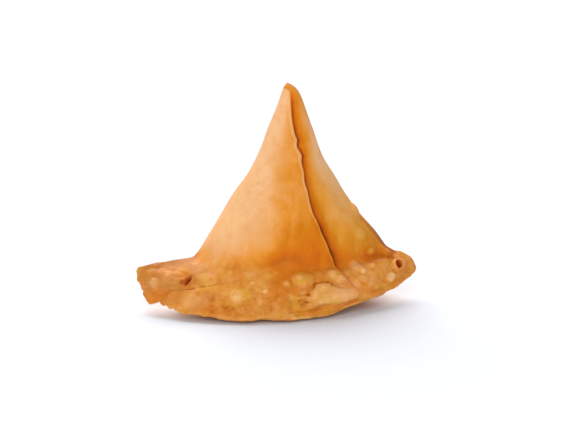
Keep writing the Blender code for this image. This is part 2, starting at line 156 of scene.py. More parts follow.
# The tuck down the middle of the back
TUCK_X = -0.0030
TUCK_LEAN = 0.10
TUCK_RISE = 0.0013
TUCK_EDGE = 0.0007
TUCK_FADE = 0.0085
TUCK_GROOVE = 0.0016
TUCK_WANDER = (0.0004, 0.0090)

# How far the whole piece sits into its flat underside
REST_SINK = 0.0005

# Unevenness of the crust: height and size of the waves
RIM_BUMPS = (0.00016, 0.0072)
RIM_GRAIN = (0.00003, 0.0027)
FOLD_ROUGH = 0.25
CONE_BUMPS = (0.00018, 0.0140)
CONE_PANELS = (0.00014, 0.0085)
PANEL_STRETCH = 4.0
EDGE_WANDER = (0.00026, 0.0090)
EDGE_TEETH = (0.00004, 0.0028)
WAVE_COUNT = 20

# Places where the sealed edge dips in: how far right, half width and depth; a bulge has a depth below 0
EDGE_DIPS = [
    (-0.0470, 0.0035, 0.0007),
    (-0.0400, 0.0030, -0.0028),
    (-0.0384, 0.0009, 0.0018),
    (-0.0310, 0.0060, -0.0011),
    (-0.0125, 0.0060, -0.0006),
    (-0.0045, 0.0055, 0.0007),
    (0.0100, 0.0040, 0.0006),
    (0.0280, 0.0080, 0.0022),
    (0.0344, 0.0014, 0.0006),
    (0.0390, 0.0080, 0.0014),
    (0.0440, 0.0035, 0.0005),
]

# Blisters and hollows of the front, the larger ones first: column, level, half width, half height, rise,
# squareness, then how much paler, yellower and darker each makes the crust. The paleness is partly paler
# dough and partly painted highlight on the tops; the darkness of the hollows is painted shade.
BLISTERS = [
    (0.299, 0.923, 0.0104, 0.0038, 0.00130, 3.0, 0.00, 0.00, 0.00),
    (0.200, 0.952, 0.0030, 0.0024, 0.00050, 2.0, 0.10, 0.10, 0.00),
    (0.286, 0.956, 0.0034, 0.0018, 0.00080, 2.0, 0.78, 0.00, 0.00),
    (0.252, 0.860, 0.0028, 0.0022, 0.00050, 2.0, 0.10, 0.15, 0.00),
    (0.307, 0.910, 0.0017, 0.0014, 0.00030, 2.0, 0.20, 0.00, 0.00),
    (0.335, 0.880, 0.0009, 0.0025, -0.00120, 2.0, 0.00, 0.00, 1.00),
    (0.340, 0.847, 0.0042, 0.0026, 0.00050, 2.0, 0.10, 0.20, 0.00),
    (0.310, 0.797, 0.0031, 0.0024, 0.00040, 2.0, 0.15, 0.30, 0.00),
    (0.481, 0.903, 0.0028, 0.0022, 0.00045, 2.0, 0.80, 0.20, 0.00),
    (0.515, 0.877, 0.0017, 0.0012, 0.00040, 2.0, 0.80, 0.10, 0.00),
    (0.555, 0.817, 0.0041, 0.0030, 0.00050, 2.0, 0.50, 0.50, 0.00),
    (0.530, 0.837, 0.0015, 0.0014, 0.00035, 2.0, 0.80, 0.20, 0.00),
    (0.578, 0.890, 0.0017, 0.0008, 0.00030, 2.0, 0.30, 0.10, 0.00),
    (0.461, 0.773, 0.0013, 0.0009, 0.00025, 2.0, 0.30, 0.30, 0.00),
    (0.626, 0.807, 0.0021, 0.0022, 0.00045, 2.0, 0.72, 0.25, 0.00),
    (0.638, 0.845, 0.0022, 0.0017, 0.00045, 2.0, 0.74, 0.10, 0.00),
    (0.619, 0.917, 0.0092, 0.0034, 0.00035, 5.0, 0.25, 0.00, 0.00),
    (0.600, 0.950, 0.0020, 0.0017, 0.00030, 2.0, 0.60, 0.10, 0.00),
    (0.730, 0.778, 0.0025, 0.0022, 0.00070, 2.0, 0.74, 0.10, 0.00),
    (0.726, 0.825, 0.0016, 0.0011, 0.00040, 2.0, 0.75, 0.10, 0.00),
    (0.772, 0.813, 0.0015, 0.0010, 0.00035, 2.0, 0.60, 0.10, 0.00),
    (0.691, 0.887, 0.0036, 0.0027, 0.00040, 2.0, 0.25, 0.00, 0.00),
    (0.716, 0.952, 0.0026, 0.0013, 0.00035, 2.0, 0.20, 0.10, 0.00),
    (0.824, 0.828, 0.0028, 0.0017, 0.00045, 2.0, 0.20, 0.20, 0.00),
    (0.790, 0.940, 0.0031, 0.0022, 0.00060, 2.0, 1.00, 0.00, 0.00),
    (0.870, 0.900, 0.0038, 0.0026, 0.00090, 3.0, 0.35, 0.00, 0.00),
    (0.865, 0.895, 0.0017, 0.0018, -0.00150, 4.0, 0.00, 0.00, 1.20),
    (0.965, 0.556, 0.0034, 0.0030, 0.00090, 2.0, 0.10, 0.00, 0.00),
    (0.835, 0.642, 0.0030, 0.0023, 0.00030, 2.0, 0.55, 0.50, 0.00),
    (0.834, 0.725, 0.0020, 0.0012, 0.00030, 2.0, 0.50, 0.50, 0.00),
    (0.214, 0.902, 0.0018, 0.0010, 0.00030, 2.0, 0.40, 0.00, 0.00),
    (0.282, 0.897, 0.0015, 0.0014, 0.00035, 2.0, 0.50, 0.00, 0.00),
    (0.370, 0.947, 0.0014, 0.0010, 0.00018, 2.0, 0.25, 0.00, 0.00),
    (0.403, 0.940, 0.0016, 0.0012, 0.00018, 2.0, 0.30, 0.00, 0.00),
    (0.331, 0.793, 0.0010, 0.0022, 0.00018, 2.0, 0.40, 0.00, 0.00),
    (0.340, 0.782, 0.0013, 0.0015, 0.00015, 2.0, 0.10, 0.30, 0.00),
    (0.400, 0.788, 0.0012, 0.0016, 0.00018, 2.0, 0.25, 0.20, 0.00),
    (0.455, 0.835, 0.0014, 0.0009, 0.00025, 2.0, 0.50, 0.30, 0.00),
    (0.448, 0.787, 0.0015, 0.0011, 0.00018, 2.0, 0.00, 0.50, 0.00),
    (0.485, 0.888, 0.0018, 0.0018, 0.00020, 2.0, 0.00, 0.35, 0.00),
    # A small pale spot on the upper left of the big blister: a painted highlight.
    (0.546, 0.812, 0.0017, 0.0014, 0.00016, 2.0, 0.85, 0.00, 0.00),
    (0.346, 0.899, 0.0008, 0.0010, -0.00040, 2.0, 0.00, 0.00, 0.60),
    (0.581, 0.913, 0.0008, 0.0006, 0.00020, 2.0, 0.50, 0.00, 0.00),
    (0.574, 0.916, 0.0013, 0.0007, 0.00015, 2.0, 0.30, 0.00, 0.00),
    (0.606, 0.938, 0.0007, 0.0006, 0.00018, 2.0, 0.60, 0.00, 0.00),
    (0.731, 0.817, 0.0012, 0.0010, 0.00030, 2.0, 0.80, 0.20, 0.00),
    (0.774, 0.810, 0.0015, 0.0009, 0.00030, 2.0, 0.70, 0.10, 0.00),
    (0.745, 0.862, 0.0021, 0.0015, 0.00028, 2.0, 0.25, 0.00, 0.00),
    (0.698, 0.893, 0.0012, 0.0010, 0.00028, 2.0, 0.65, 0.00, 0.00),
    (0.712, 0.925, 0.0013, 0.0010, 0.00025, 2.0, 0.50, 0.00, 0.00),
    (0.715, 0.960, 0.0013, 0.0009, 0.00028, 2.0, 0.55, 0.00, 0.00),
    (0.752, 0.967, 0.0015, 0.0009, 0.00025, 2.0, 0.45, 0.00, 0.00),
    (0.690, 0.935, 0.0011, 0.0008, 0.00022, 2.0, 0.45, 0.10, 0.00),
    (0.730, 0.890, 0.0010, 0.0008, 0.00020, 2.0, 0.35, 0.10, 0.00),
]

# The pinch round a blister's foot, and how far through the dough a blister shows
PINCH = 0.14
BLISTER_REACH = 0.009

# Low blisters scattered over the back: how many, and least and greatest level, column, size and steepness
BACK_BLISTERS = 16
BACK_BLISTER_LEVELS = (0.25, 0.95)
BACK_BLISTER_COLUMNS = (0.42, 0.80)
BACK_BLISTER_SIZE = (0.0015, 0.0034)
BACK_BLISTER_STEEP = (0.10, 0.22)

# Small tears in the end of the left layer: level, how far each steps out, half height
LAP_TEARS = [(0.232, 0.00050, 0.012), (0.262, -0.00030, 0.008), (0.300, 0.00025, 0.012)]

# Flakes of dough on the rim's front, each an outline of columns and levels, with its rise, how far in the
# rise takes, and how round its edge is: 1 is a slope and 0.5 a pillow. The first one is the terrace
FLAKES = [
    ([(0.586, 0.920), (0.590, 0.887), (0.594, 0.858), (0.604, 0.850), (0.615, 0.857), (0.623, 0.883),
      (0.630, 0.903), (0.639, 0.912), (0.649, 0.906), (0.680, 0.890), (0.680, 0.995), (0.614, 0.990),
      (0.605, 0.977), (0.594, 0.992), (0.583, 1.000), (0.579, 0.987), (0.580, 0.953)],
     0.00060, 0.0006, 0.7),
    ([(0.592, 0.942), (0.599, 0.912), (0.609, 0.897), (0.620, 0.927), (0.630, 0.957), (0.612, 0.965),
      (0.601, 0.957)],
     -0.00030, 0.0012, 1.0),
    ([(0.573, 0.968), (0.578, 0.952), (0.583, 0.958), (0.583, 0.977), (0.575, 0.990)],
     0.00040, 0.0006, 0.7),
    ([(0.040, 0.985), (0.141, 0.975), (0.216, 0.968), (0.263, 0.960), (0.294, 0.950), (0.321, 0.938),
      (0.339, 0.932), (0.356, 0.922), (0.366, 0.908), (0.343, 0.882), (0.265, 0.847), (0.199, 0.833),
      (0.159, 0.842), (0.138, 0.883), (0.040, 0.948)],
     0.00060, 0.0040, 0.9),
]

# Edges where one sheet of dough ends on another, each a path of columns and levels read from left to right,
# with the step down from its lower side, how far that side runs out, and the depth of the groove along it
LEDGES = [
    ([(0.345, 1.000), (0.348, 0.990), (0.346, 0.965), (0.352, 0.948), (0.360, 0.942), (0.375, 0.927),
      (0.388, 0.912), (0.396, 0.895), (0.400, 0.877), (0.401, 0.853), (0.415, 0.837)],
     0.00040, 0.0035, 0.00028),
    ([(0.141, 0.978), (0.216, 0.971), (0.263, 0.963), (0.294, 0.953), (0.321, 0.941), (0.339, 0.935),
      (0.356, 0.925), (0.366, 0.910)],
     0.00000, 0.0020, 0.00025),
    ([(0.545, 1.000), (0.554, 0.985), (0.564, 0.980), (0.573, 0.978), (0.581, 0.973)],
     0.00020, 0.0010, 0.00020),
    ([(0.413, 0.965), (0.434, 0.937), (0.463, 0.933)],
     0.00014, 0.0015, 0.00010),
    ([(0.499, 0.925), (0.514, 0.913), (0.531, 0.915), (0.546, 0.905)],
     0.00014, 0.0015, 0.00010),
]

# How softly a ledge steps down, the width of its groove, how deep a groove gets the full painted shade of a
# dark line, and height and size of the waves by which the edges of ledges and flakes stray
LEDGE_SOFT = 0.00020
LEDGE_GROOVE = 0.00040
LEDGE_LINE = 0.0003
LEDGE_WANDER = (0.00018, 0.0040)
FLAKE_WANDER = (0.00012, 0.0030)

# Fine unevenness: height and size of ripples, grains and pimples, and how much of them the cone has
RIPPLES = (0.000015, 0.0021)
GRAINS = (0.000012, 0.0010)
PIMPLES = (0.00005, 0.0013, 1.1)
CONE_SHARE = 0.35

# Small blisters by seeded chance, on the rim and on the cone: seed, whether on the front, how many, and
# least and greatest size, steepness and level
CHANCE_BLISTERS = [
    (71, True, 45, (0.0007, 0.0018), (0.02, 0.06), (0.78, 0.975)),
    (72, False, 60, (0.0008, 0.0022), (0.05, 0.14), (0.74, 0.95)),
    (73, True, 10, (0.0008, 0.0016), (0.02, 0.05), (0.10, 0.72)),
    (74, False, 30, (0.0008, 0.0018), (0.05, 0.12), (0.10, 0.72)),
]
CHANCE_FRONT_COLUMNS = (0.36, 0.93)
CHANCE_BACK_COLUMNS = (0.42, 0.78)
CHANCE_WIDTH = (0.8, 1.3)

# Height at which the top of such a blister is palest, partly as painted highlight, and of a back blister
CHANCE_TOP = 0.0003
BACK_TOP = 0.0004

# The open edge of the two pressed sheets: depth of the groove between them and of its tatters
EDGE_GROOVE = 0.00035
EDGE_TATTERS = (0.00006, 0.0018)

# Teeth along the sealed edge: their length, their length below the left ear, and their size
TEETH = (0.00008, 0.00026, 0.0015)

# Lifts and dips of the tops of the ears, as seen from the front: middle, half width, height where each
# starts, height where it is full, and how far it lifts
EAR_LIFTS = [
    (-0.0398, 0.0045, 0.0088, 0.0124, 0.0007),
    (0.0370, 0.0022, 0.0145, 0.0180, 0.0009),
    (0.0406, 0.0016, 0.0135, 0.0162, -0.0006),
    (0.0466, 0.0016, 0.0113, 0.0133, 0.0010),
]

# Soft spots of the front: column, level, half width, half height, then by how much each darkens the crust,
# pinker, yellower and more orange. The darkening is frying in some spots; along the crease between the
# cone and the rim, in the hollows and at the notch of the left ear's lower edge the darker, more orange
# colour is painted shade, and the paler spots on blister tops and along the lower edge are painted
# highlights
SPOTS = [
    (0.669, 0.018, 0.0030, 0.0030, -0.34, 0.0, 0.0, 0.2),
    (0.296, 0.385, 0.0030, 0.0060, -0.24, 0.1, 0.0, 0.0),
    (0.215, 0.530, 0.0022, 0.0060, -0.10, 0.0, 0.12, 0.0),
    (0.145, 0.520, 0.0060, 0.0120, -0.05, 0.0, 0.0, 0.0),
    (0.536, 0.733, 0.0120, 0.0060, 0.12, 0.0, 0.0, 0.5),
    (0.626, 0.777, 0.0090, 0.0030, 0.08, 0.0, 0.0, 0.0),
    (0.690, 0.750, 0.0035, 0.0020, 0.12, 0.0, 0.0, 0.2),
    (0.735, 0.745, 0.0035, 0.0020, 0.14, 0.0, 0.0, 0.2),
    (0.782, 0.745, 0.0035, 0.0020, 0.14, 0.0, 0.0, 0.0),
    (0.800, 0.770, 0.0040, 0.0016, 0.14, 0.0, 0.0, 0.3),
    (0.843, 0.747, 0.0030, 0.0020, 0.12, 0.0, 0.0, 0.0),
    (0.860, 0.780, 0.0040, 0.0018, 0.20, 0.0, 0.0, 0.2),
    (0.891, 0.815, 0.0032, 0.0018, 0.16, 0.0, 0.0, 0.0),
    (0.920, 0.780, 0.0030, 0.0035, 0.10, 0.0, 0.0, 0.0),
    (0.495, 0.745, 0.0035, 0.0030, 0.06, 0.0, 0.0, 0.4),
    (0.490, 0.792, 0.0028, 0.0030, 0.12, 0.0, 0.0, 0.5),
    (0.556, 0.880, 0.0016, 0.0009, 0.16, 0.0, 0.0, 0.6),
    (0.520, 0.845, 0.0026, 0.0030, 0.10, 0.0, 0.0, 0.5),
    (0.538, 0.905, 0.0030, 0.0030, 0.08, 0.0, 0.0, 0.4),
    (0.585, 0.993, 0.0070, 0.0018, -0.04, 0.0, 0.2, 0.4),
    (0.628, 0.998, 0.0050, 0.0014, -0.20, 0.0, 0.0, 0.6),
    (0.628, 0.945, 0.0050, 0.0026, -0.10, 0.5, 0.0, 0.0),
    (0.615, 0.965, 0.0045, 0.0020, -0.36, 0.1, 0.3, 0.0),
    (0.665, 0.930, 0.0030, 0.0026, -0.42, 0.0, 0.1, 0.2),
    (0.645, 0.880, 0.0040, 0.0018, 0.02, 0.5, 0.0, 0.0),
    (0.601, 0.930, 0.0022, 0.0022, 0.00, 0.0, 0.6, 0.0),
    (0.572, 0.985, 0.0016, 0.0012, -0.12, 0.0, 0.4, 0.0),
    (0.560, 1.000, 0.0035, 0.0008, -0.16, 0.0, 0.3, 0.0),
    (0.538, 0.995, 0.0020, 0.0008, -0.14, 0.2, 0.0, 0.0),
    (0.664, 1.000, 0.0050, 0.0009, -0.16, 0.0, 0.2, 0.0),
    (0.700, 1.000, 0.0040, 0.0008, -0.12, 0.2, 0.0, 0.0),
    (0.680, 0.925, 0.0010, 0.0016, 0.14, 0.0, 0.0, 0.3),
    (0.334, 1.000, 0.0050, 0.0026, 0.18, 0.0, 0.0, 0.5),
    (0.335, 0.879, 0.0017, 0.0030, 0.30, 0.0, 0.0, 0.4),
    (0.365, 0.912, 0.0016, 0.0010, 0.16, 0.0, 0.0, 0.5),
    (0.290, 0.866, 0.0020, 0.0026, 0.26, 0.0, 0.0, 0.6),
    (0.448, 0.980, 0.0024, 0.0015, 0.14, 0.0, 0.0, 0.6),
    (0.404, 0.962, 0.0030, 0.0020, -0.06, 0.6, 0.0, 0.0),
    (0.230, 0.888, 0.0024, 0.0020, -0.04, 0.6, 0.0, 0.0),
    (0.168, 0.957, 0.0024, 0.0020, 0.04, 0.0, 0.3, 0.0),
    (0.244, 0.860, 0.0024, 0.0016, 0.03, 0.0, 0.3, 0.0),
    (0.312, 0.990, 0.0060, 0.0024, 0.15, 0.0, 0.0, 0.5),
    (0.286, 0.956, 0.0019, 0.0017, -0.44, 0.1, 0.0, 0.0),
    (0.286, 0.897, 0.0014, 0.0012, -0.24, 0.2, 0.0, 0.0),
    (0.214, 0.902, 0.0020, 0.0010, -0.18, 0.3, 0.0, 0.0),
    (0.238, 0.852, 0.0022, 0.0010, -0.18, 0.2, 0.0, 0.0),
    (0.630, 0.918, 0.0035, 0.0013, 0.16, 0.4, 0.0, 0.0),
    (0.455, 0.735, 0.0070, 0.0013, 0.14, 0.0, 0.0, 0.2),
    (0.395, 0.745, 0.0050, 0.0013, 0.08, 0.0, 0.0, 0.1),
    (0.240, 0.925, 0.0060, 0.0010, 0.08, 0.0, 0.0, 0.2),
    (0.345, 0.955, 0.0060, 0.0014, 0.10, 0.0, 0.0, 0.2),
    (0.307, 0.905, 0.0022, 0.0016, -0.10, 0.2, 0.0, 0.0),
    (0.252, 0.860, 0.0024, 0.0014, -0.10, 0.1, 0.1, 0.0),
    (0.300, 0.765, 0.0055, 0.0030, 0.12, 0.2, 0.0, 0.0),
    (0.479, 0.914, 0.0012, 0.0021, -0.26, 0.5, 0.0, 0.0),
    (0.487, 0.888, 0.0018, 0.0019, 0.04, 0.0, 0.3, 0.0),
    (0.701, 0.896, 0.0045, 0.0030, 0.02, 0.3, 0.0, 0.2),
    (0.775, 0.840, 0.0030, 0.0024, 0.00, 0.2, 0.0, 0.2),
    (0.870, 0.900, 0.0026, 0.0026, -0.10, 0.3, 0.0, 0.5),
    (0.650, 0.938, 0.0032, 0.0024, -0.34, 0.0, 0.0, 0.2),
    (0.603, 0.955, 0.0022, 0.0018, -0.16, 0.1, 0.1, 0.0),
    (0.828, 0.325, 0.0025, 0.0060, -0.16, 0.1, 0.0, 0.0),
    (0.200, 0.920, 0.0080, 0.0060, 0.05, 0.0, 0.0, 0.2),
    (0.925, 0.925, 0.0030, 0.0040, -0.12, 0.2, 0.0, 0.2),
    (0.722, 0.776, 0.0040, 0.0030, -0.34, 0.1, 0.10, 0.0),
    (0.478, 0.972, 0.0060, 0.0030, 0.12, 0.0, 0.0, 0.1),
    (0.425, 0.950, 0.0045, 0.0030, 0.04, 0.4, 0.0, 0.0),
    (0.669, 0.972, 0.0040, 0.0020, 0.06, 0.0, 0.0, 0.4),
    (0.331, 0.600, 0.0060, 0.0080, 0.05, 0.0, 0.0, 0.0),
    (0.480, 0.290, 0.0030, 0.0060, -0.06, 0.2, 0.0, 0.0),
    (0.190, 0.560, 0.0070, 0.0100, 0.00, 0.0, 0.15, 0.0),
    (0.628, 0.815, 0.0040, 0.0026, -0.08, 0.0, 0.1, 0.0),
    (0.180, 0.900, 0.0060, 0.0030, 0.16, 0.0, 0.0, 0.0),
    (0.260, 0.905, 0.0060, 0.0030, 0.32, 0.0, 0.0, 0.1),
    (0.901, 0.923, 0.0008, 0.0012, -0.20, 0.4, 0.0, 0.0),
]

# Where the colours change by the lap, as distances inside the end of the left layer: the layer's edge; the
# pale strip's least half width, how much wider it gets, its inset and how far it keeps to the lap, the
# strip being partly paler cut dough and partly painted highlight; the faint line beside it; the top and the
# foot of the painted shade on the step's wall; and how far the painted shadow of the lap reaches over the
# right layer, and how much further it reaches about two fifths of the way down
LAYER_EDGE = (-0.0002, 0.0004)
STRIP_HALF = 0.00026
STRIP_WIDER = 0.00030
STRIP_INSET = 0.0004
STRIP_BY_LAP = (0.0030, 0.0008)
STRIP_LINE = (0.0015, 0.0002)
WALL_TOP = (0.0006, -0.0001)
WALL_FOOT = (-0.0014, -0.0003)
LAP_SHADOW_REACH = 0.0034
LAP_SHADOW_REACH_MORE = 0.0016

# The terrace's edge, the painted highlight along its brow and the painted shadow line round its foot, as
# distances inside its outline, and where the yellower far right of the right layer begins
TERRACE_EDGE = (-0.0001, 0.0002)
TERRACE_HIGHLIGHT = (0.0004, 0.0005)
TERRACE_SHADOW = (-0.0002, 0.0003)
TERRACE_SHADOW_END = (-0.0006, 0.0)
FAR_RIGHT = (0.0020, 0.0070)

# Height over the skin round it at which a place counts as a full ridge, for the painted highlight on ridges
# and the painted shade in valleys, and the rows and columns looked at
RELIEF_FULL = 0.0004
RELIEF_WINDOW = (7, 5)

# The grid: how many columns and levels, the rows round the sealed edge, and where the lines crowd, each
# crowd's place, width and how many times denser
COLUMNS = 258
LEVELS = 187
EDGE_ROWS = 7
COLUMN_CROWDS = [(LAP_COLUMN, 0.012, 5.0), (0.853, 0.020, 1.8), (0.27, 0.08, 0.6)]
LEVEL_CROWDS = [(0.0, 0.015, 4.0), (0.90, 0.09, 2.2)]

# The front is seen from so many degrees above level
VIEW_TILT = 15.0


def step(low, high, x):
    """Smooth rise from 0 at low to 1 at high, which is a fall where low is the greater one."""
    t = np.clip((x - low) / (high - low), 0.0, 1.0)
    return t * t * (3.0 - 2.0 * t)


def hump(x, middle, width):
    """Smooth hump, 1 in its middle."""
    return np.exp(-(((x - middle) / width) ** 2))


def ramp(x, soft):
    """0 below 0 and x above it, with a bend as wide as soft."""
    return soft * np.logaddexp(0.0, x / soft)


def mix(a, b, t):
    """a where t is 0 and b where t is 1."""
    return a + (b - a) * t


def unit(vectors):
    """The same directions with length 1."""
    return vectors / np.maximum(np.linalg.norm(vectors, axis=-1, keepdims=True), 1e-12)


def spread(count, crowds):
    """Grid lines from 0 to 1, closer together at the crowds: their share runs with the summed density."""
    x = np.linspace(0.0, 1.0, 4001)
    density = 1.0 + sum(more * hump(x, place, width) for place, width, more in crowds)
    share = np.concatenate([[0.0], np.cumsum((density[1:] + density[:-1]) / 2.0)])
    return np.interp(np.linspace(0.0, 1.0, count + 1), share / share[-1], x)


def waves(points, size, seed):
    """Smooth bumps about as wide as size, mostly between -1 and 1: a sum of sines in seeded directions."""
    rng = np.random.default_rng(seed)
    total = np.zeros(points.shape[:-1])
    for _ in range(WAVE_COUNT):
        direction = unit(rng.normal(size=3))
        length = size * rng.uniform(0.7, 1.6)
        total += np.sin(points @ direction * (2.0 * np.pi / length) + rng.uniform(0.0, 2.0 * np.pi))
    return total / np.sqrt(WAVE_COUNT)


def lap_side(level):
    """How far right of the middle the lap runs, as a share of the half width: it swings over below the tip,
    and kicks out further and further from LAP_KICK_FROM down."""
    kick = LAP_KICK * np.maximum(level - LAP_KICK_FROM, 0.0) ** LAP_KICK_POWER
    return LAP_SIDE * step(0.02, 0.38, level) + kick


def angles(level, column, front):
    """Angle round the loop, 0 at the left fold and pi at the right, with one column held on the lap. In the
    left ear the columns crowd towards the fold, where the loop turns sharply."""
    lap = np.arccos(-lap_side(level if front else np.ones_like(level)))
    share = np.minimum(column / LAP_COLUMN, 1.0)
    left = lap * mix(share, share**2, step(SEAL, LEFT_EAR_CROWD, level))
    right = lap + (np.pi - lap) * (column - LAP_COLUMN) / (1.0 - LAP_COLUMN)
    return np.where(column < LAP_COLUMN, left, right)


def sheet(level, column, front):
    """Middle of the front or back sheet. Each level is a loop hung between the left and the right fold, and
    it bows out to the middle line of its sheet by a power of the sine of its angle. Below the seal the back
    sheet keeps close behind the front one in the ears and fans out under the filling."""
    past = ramp(level - SEAL, SEAL_SOFT)
    depth = BODY_DEPTH * np.maximum(level - past, 0.0) / SEAL
    rim = past / (1.0 - SEAL)
    body = depth / BODY_DEPTH

    round_off = 1.0 - np.exp(-depth / TIP_TURN)
    left_blunt = LEFT_BLUNT * round_off * np.exp(-depth / LEFT_BLUNT_FADE)
    right_blunt = RIGHT_BLUNT * round_off * np.exp(-depth / RIGHT_BLUNT_FADE)
    blunt = (left_blunt + right_blunt) / 2.0
    left_flare = LEFT_FLARE * step(LEFT_FLARE_FROM, LEFT_FLARE_TO, depth)
    right_flare = RIGHT_FLARE * step(RIGHT_FLARE_FROM, RIGHT_FLARE_TO, depth)
    left_x = TIP_X - left_blunt - depth * (LEFT_SLOPE + left_flare) - LEFT_EAR * rim
    right_x = TIP_X + right_blunt + depth * (RIGHT_SLOPE + right_flare) + RIGHT_EAR * rim
    left_y = -LEFT_FOLD_FORWARD * body**2 - (LEFT_EAR_FORWARD - LEFT_FOLD_FORWARD) * rim
    right_y = RIGHT_EAR_BACK * body**1.5
    left_z = HEIGHT - depth - LEFT_EAR_DROP * rim**LEFT_EAR_DROP_POWER
    right_z = HEIGHT - depth - RIGHT_EAR_DROP * rim**RIGHT_EAR_DROP_POWER
    belly = step(BELLY_FROM, BELLY_TO, depth)
    front_y = WAIST_IN * step(WAIST_FROM, WAIST_TO, depth) - 0.9 * blunt
    front_y = front_y - depth * (FRONT_SLOPE + FRONT_FLARE * belly) - RIM_FORWARD * rim**RIM_FORWARD_POWER
    front_z = HEIGHT - depth - (HEIGHT - BODY_DEPTH - RIM_EDGE_Z) * rim

    angle = angles(level, column, front)
    across = -np.cos(angle)
    bow = np.sin(angle)
    right = (1.0 + across) / 2.0
    low = np.clip(rim, 0.0, 1.0)
    bow_y = bow ** mix(1.0, RIM_CURVE, low)
    bow_z = bow ** mix(1.0, mix(RIM_LEFT_FULL, 1.0, right), low)
    points = np.empty(np.broadcast_shapes(level.shape, column.shape) + (3,))
    points[..., 0] = mix(left_x, right_x, right)
    points[..., 1] = mix(left_y, right_y, right) + (front_y - (left_y + right_y) / 2.0) * bow_y
    points[..., 2] = mix(left_z, right_z, right) + (front_z - (left_z + right_z) / 2.0) * bow_z
    if not front:
        turn = np.clip(rim / HEEL_SHARE, 0.0, 1.0) * np.pi / 2.0
        under = np.clip((rim - HEEL_SHARE) / (1.0 - HEEL_SHARE), 0.0, 1.0)
        back_y = 0.9 * blunt + depth * (BACK_SLOPE + BACK_FLARE * belly)
        back_y = mix(HEEL_Y, back_y, np.cos(turn)) + (front_y[-1, 0] - HEEL_Y) * under
        back_z = HEIGHT - depth - (HEIGHT - BODY_DEPTH) * np.sin(turn) + RIM_EDGE_Z * step(0.55, 1.0, rim)
        fan = bow ** mix(1.0, EAR_CLOSE, step(-0.05, 0.50, rim))
        points[..., 1] += (back_y - front_y) * fan
        points[..., 2] += (back_z - front_z) * fan
    return points, across, bow


def thicken(points, level, thick):
    """Moves a sheet out by its share of the dough's thickness, rounded off at the two folds by a quarter of
    an oval and thinner at the sealed edge."""
    out = unit(np.cross(np.gradient(points, axis=0), np.gradient(points, axis=1)))
    along = np.linalg.norm(np.diff(points, axis=1), axis=-1).cumsum(axis=1)
    along = np.concatenate([np.zeros_like(along[:, :1]), along], axis=1)
    from_fold = np.minimum(along, along[:, -1:] - along)
    rounding = np.sqrt(1.0 - (1.0 - np.clip(from_fold / FOLD_ROUND, 0.0, 1.0)) ** 2)
    thinner = mix(1.0, EDGE_THIN, step(EDGE_THIN_FROM, 1.0, level))
    thick = thick * thinner * step(THICK_FROM, THICK_TO, level)
    return points + out * (thick * rounding)[..., None]


def roll_turns():
    """Angles of the rows that go round the sealed edge, between 0 at the front and pi at the back."""
    return np.linspace(0.0, np.pi, EDGE_ROWS + 2)[1:-1]


def edge_roll(front_edge, back_edge, below):
    """Rows that close the skin round the sealed edge: half a turn from the front sheet to the back one."""
    middle = (front_edge + back_edge) / 2.0
    half = (front_edge - back_edge) / 2.0
    reach = np.linalg.norm(half, axis=-1, keepdims=True)
    return np.array([middle + half * np.cos(t) + below * reach * np.sin(t) for t in roll_turns()])


def skin_index():
    """Vertex numbers of the grid: both tip rows are one point, and both folds are sewn shut."""
    rows = 2 * (LEVELS + 1) + EDGE_ROWS
    index = np.arange(rows * (COLUMNS + 1)).reshape(rows, COLUMNS + 1)
    level = np.concatenate([np.arange(LEVELS + 1), np.full(EDGE_ROWS, LEVELS), np.arange(LEVELS, -1, -1)])
    for fold in (0, COLUMNS):
        index[:, fold] = index[level, fold]
    index[level == 0, :] = index[0, 0]
    return index


def grid_normals(points, index):
    """Unit directions out of the closed skin: the sum of the faces round each vertex."""
    across = points[:-1, 1:] - points[1:, :-1]
    down = points[1:, 1:] - points[:-1, :-1]
    faces = np.cross(down, across)
    total = np.zeros((index.size, 3))
    for corner in (index[:-1, :-1], index[1:, :-1], index[1:, 1:], index[:-1, 1:]):
        np.add.at(total, corner.reshape(-1), faces.reshape(-1, 3))
    return unit(total[index])


def lookup(grid, levels, columns, level, column):
    """Value of a front grid between its lines."""
    row = np.interp(level, levels, np.arange(len(levels)))
    place = np.interp(column, columns, np.arange(len(columns)))
    i = min(int(row), len(levels) - 2)
    j = min(int(place), len(columns) - 2)
    upper = mix(grid[i, j], grid[i, j + 1], place - j)
    lower = mix(grid[i + 1, j], grid[i + 1, j + 1], place - j)
    return mix(upper, lower, row - i)


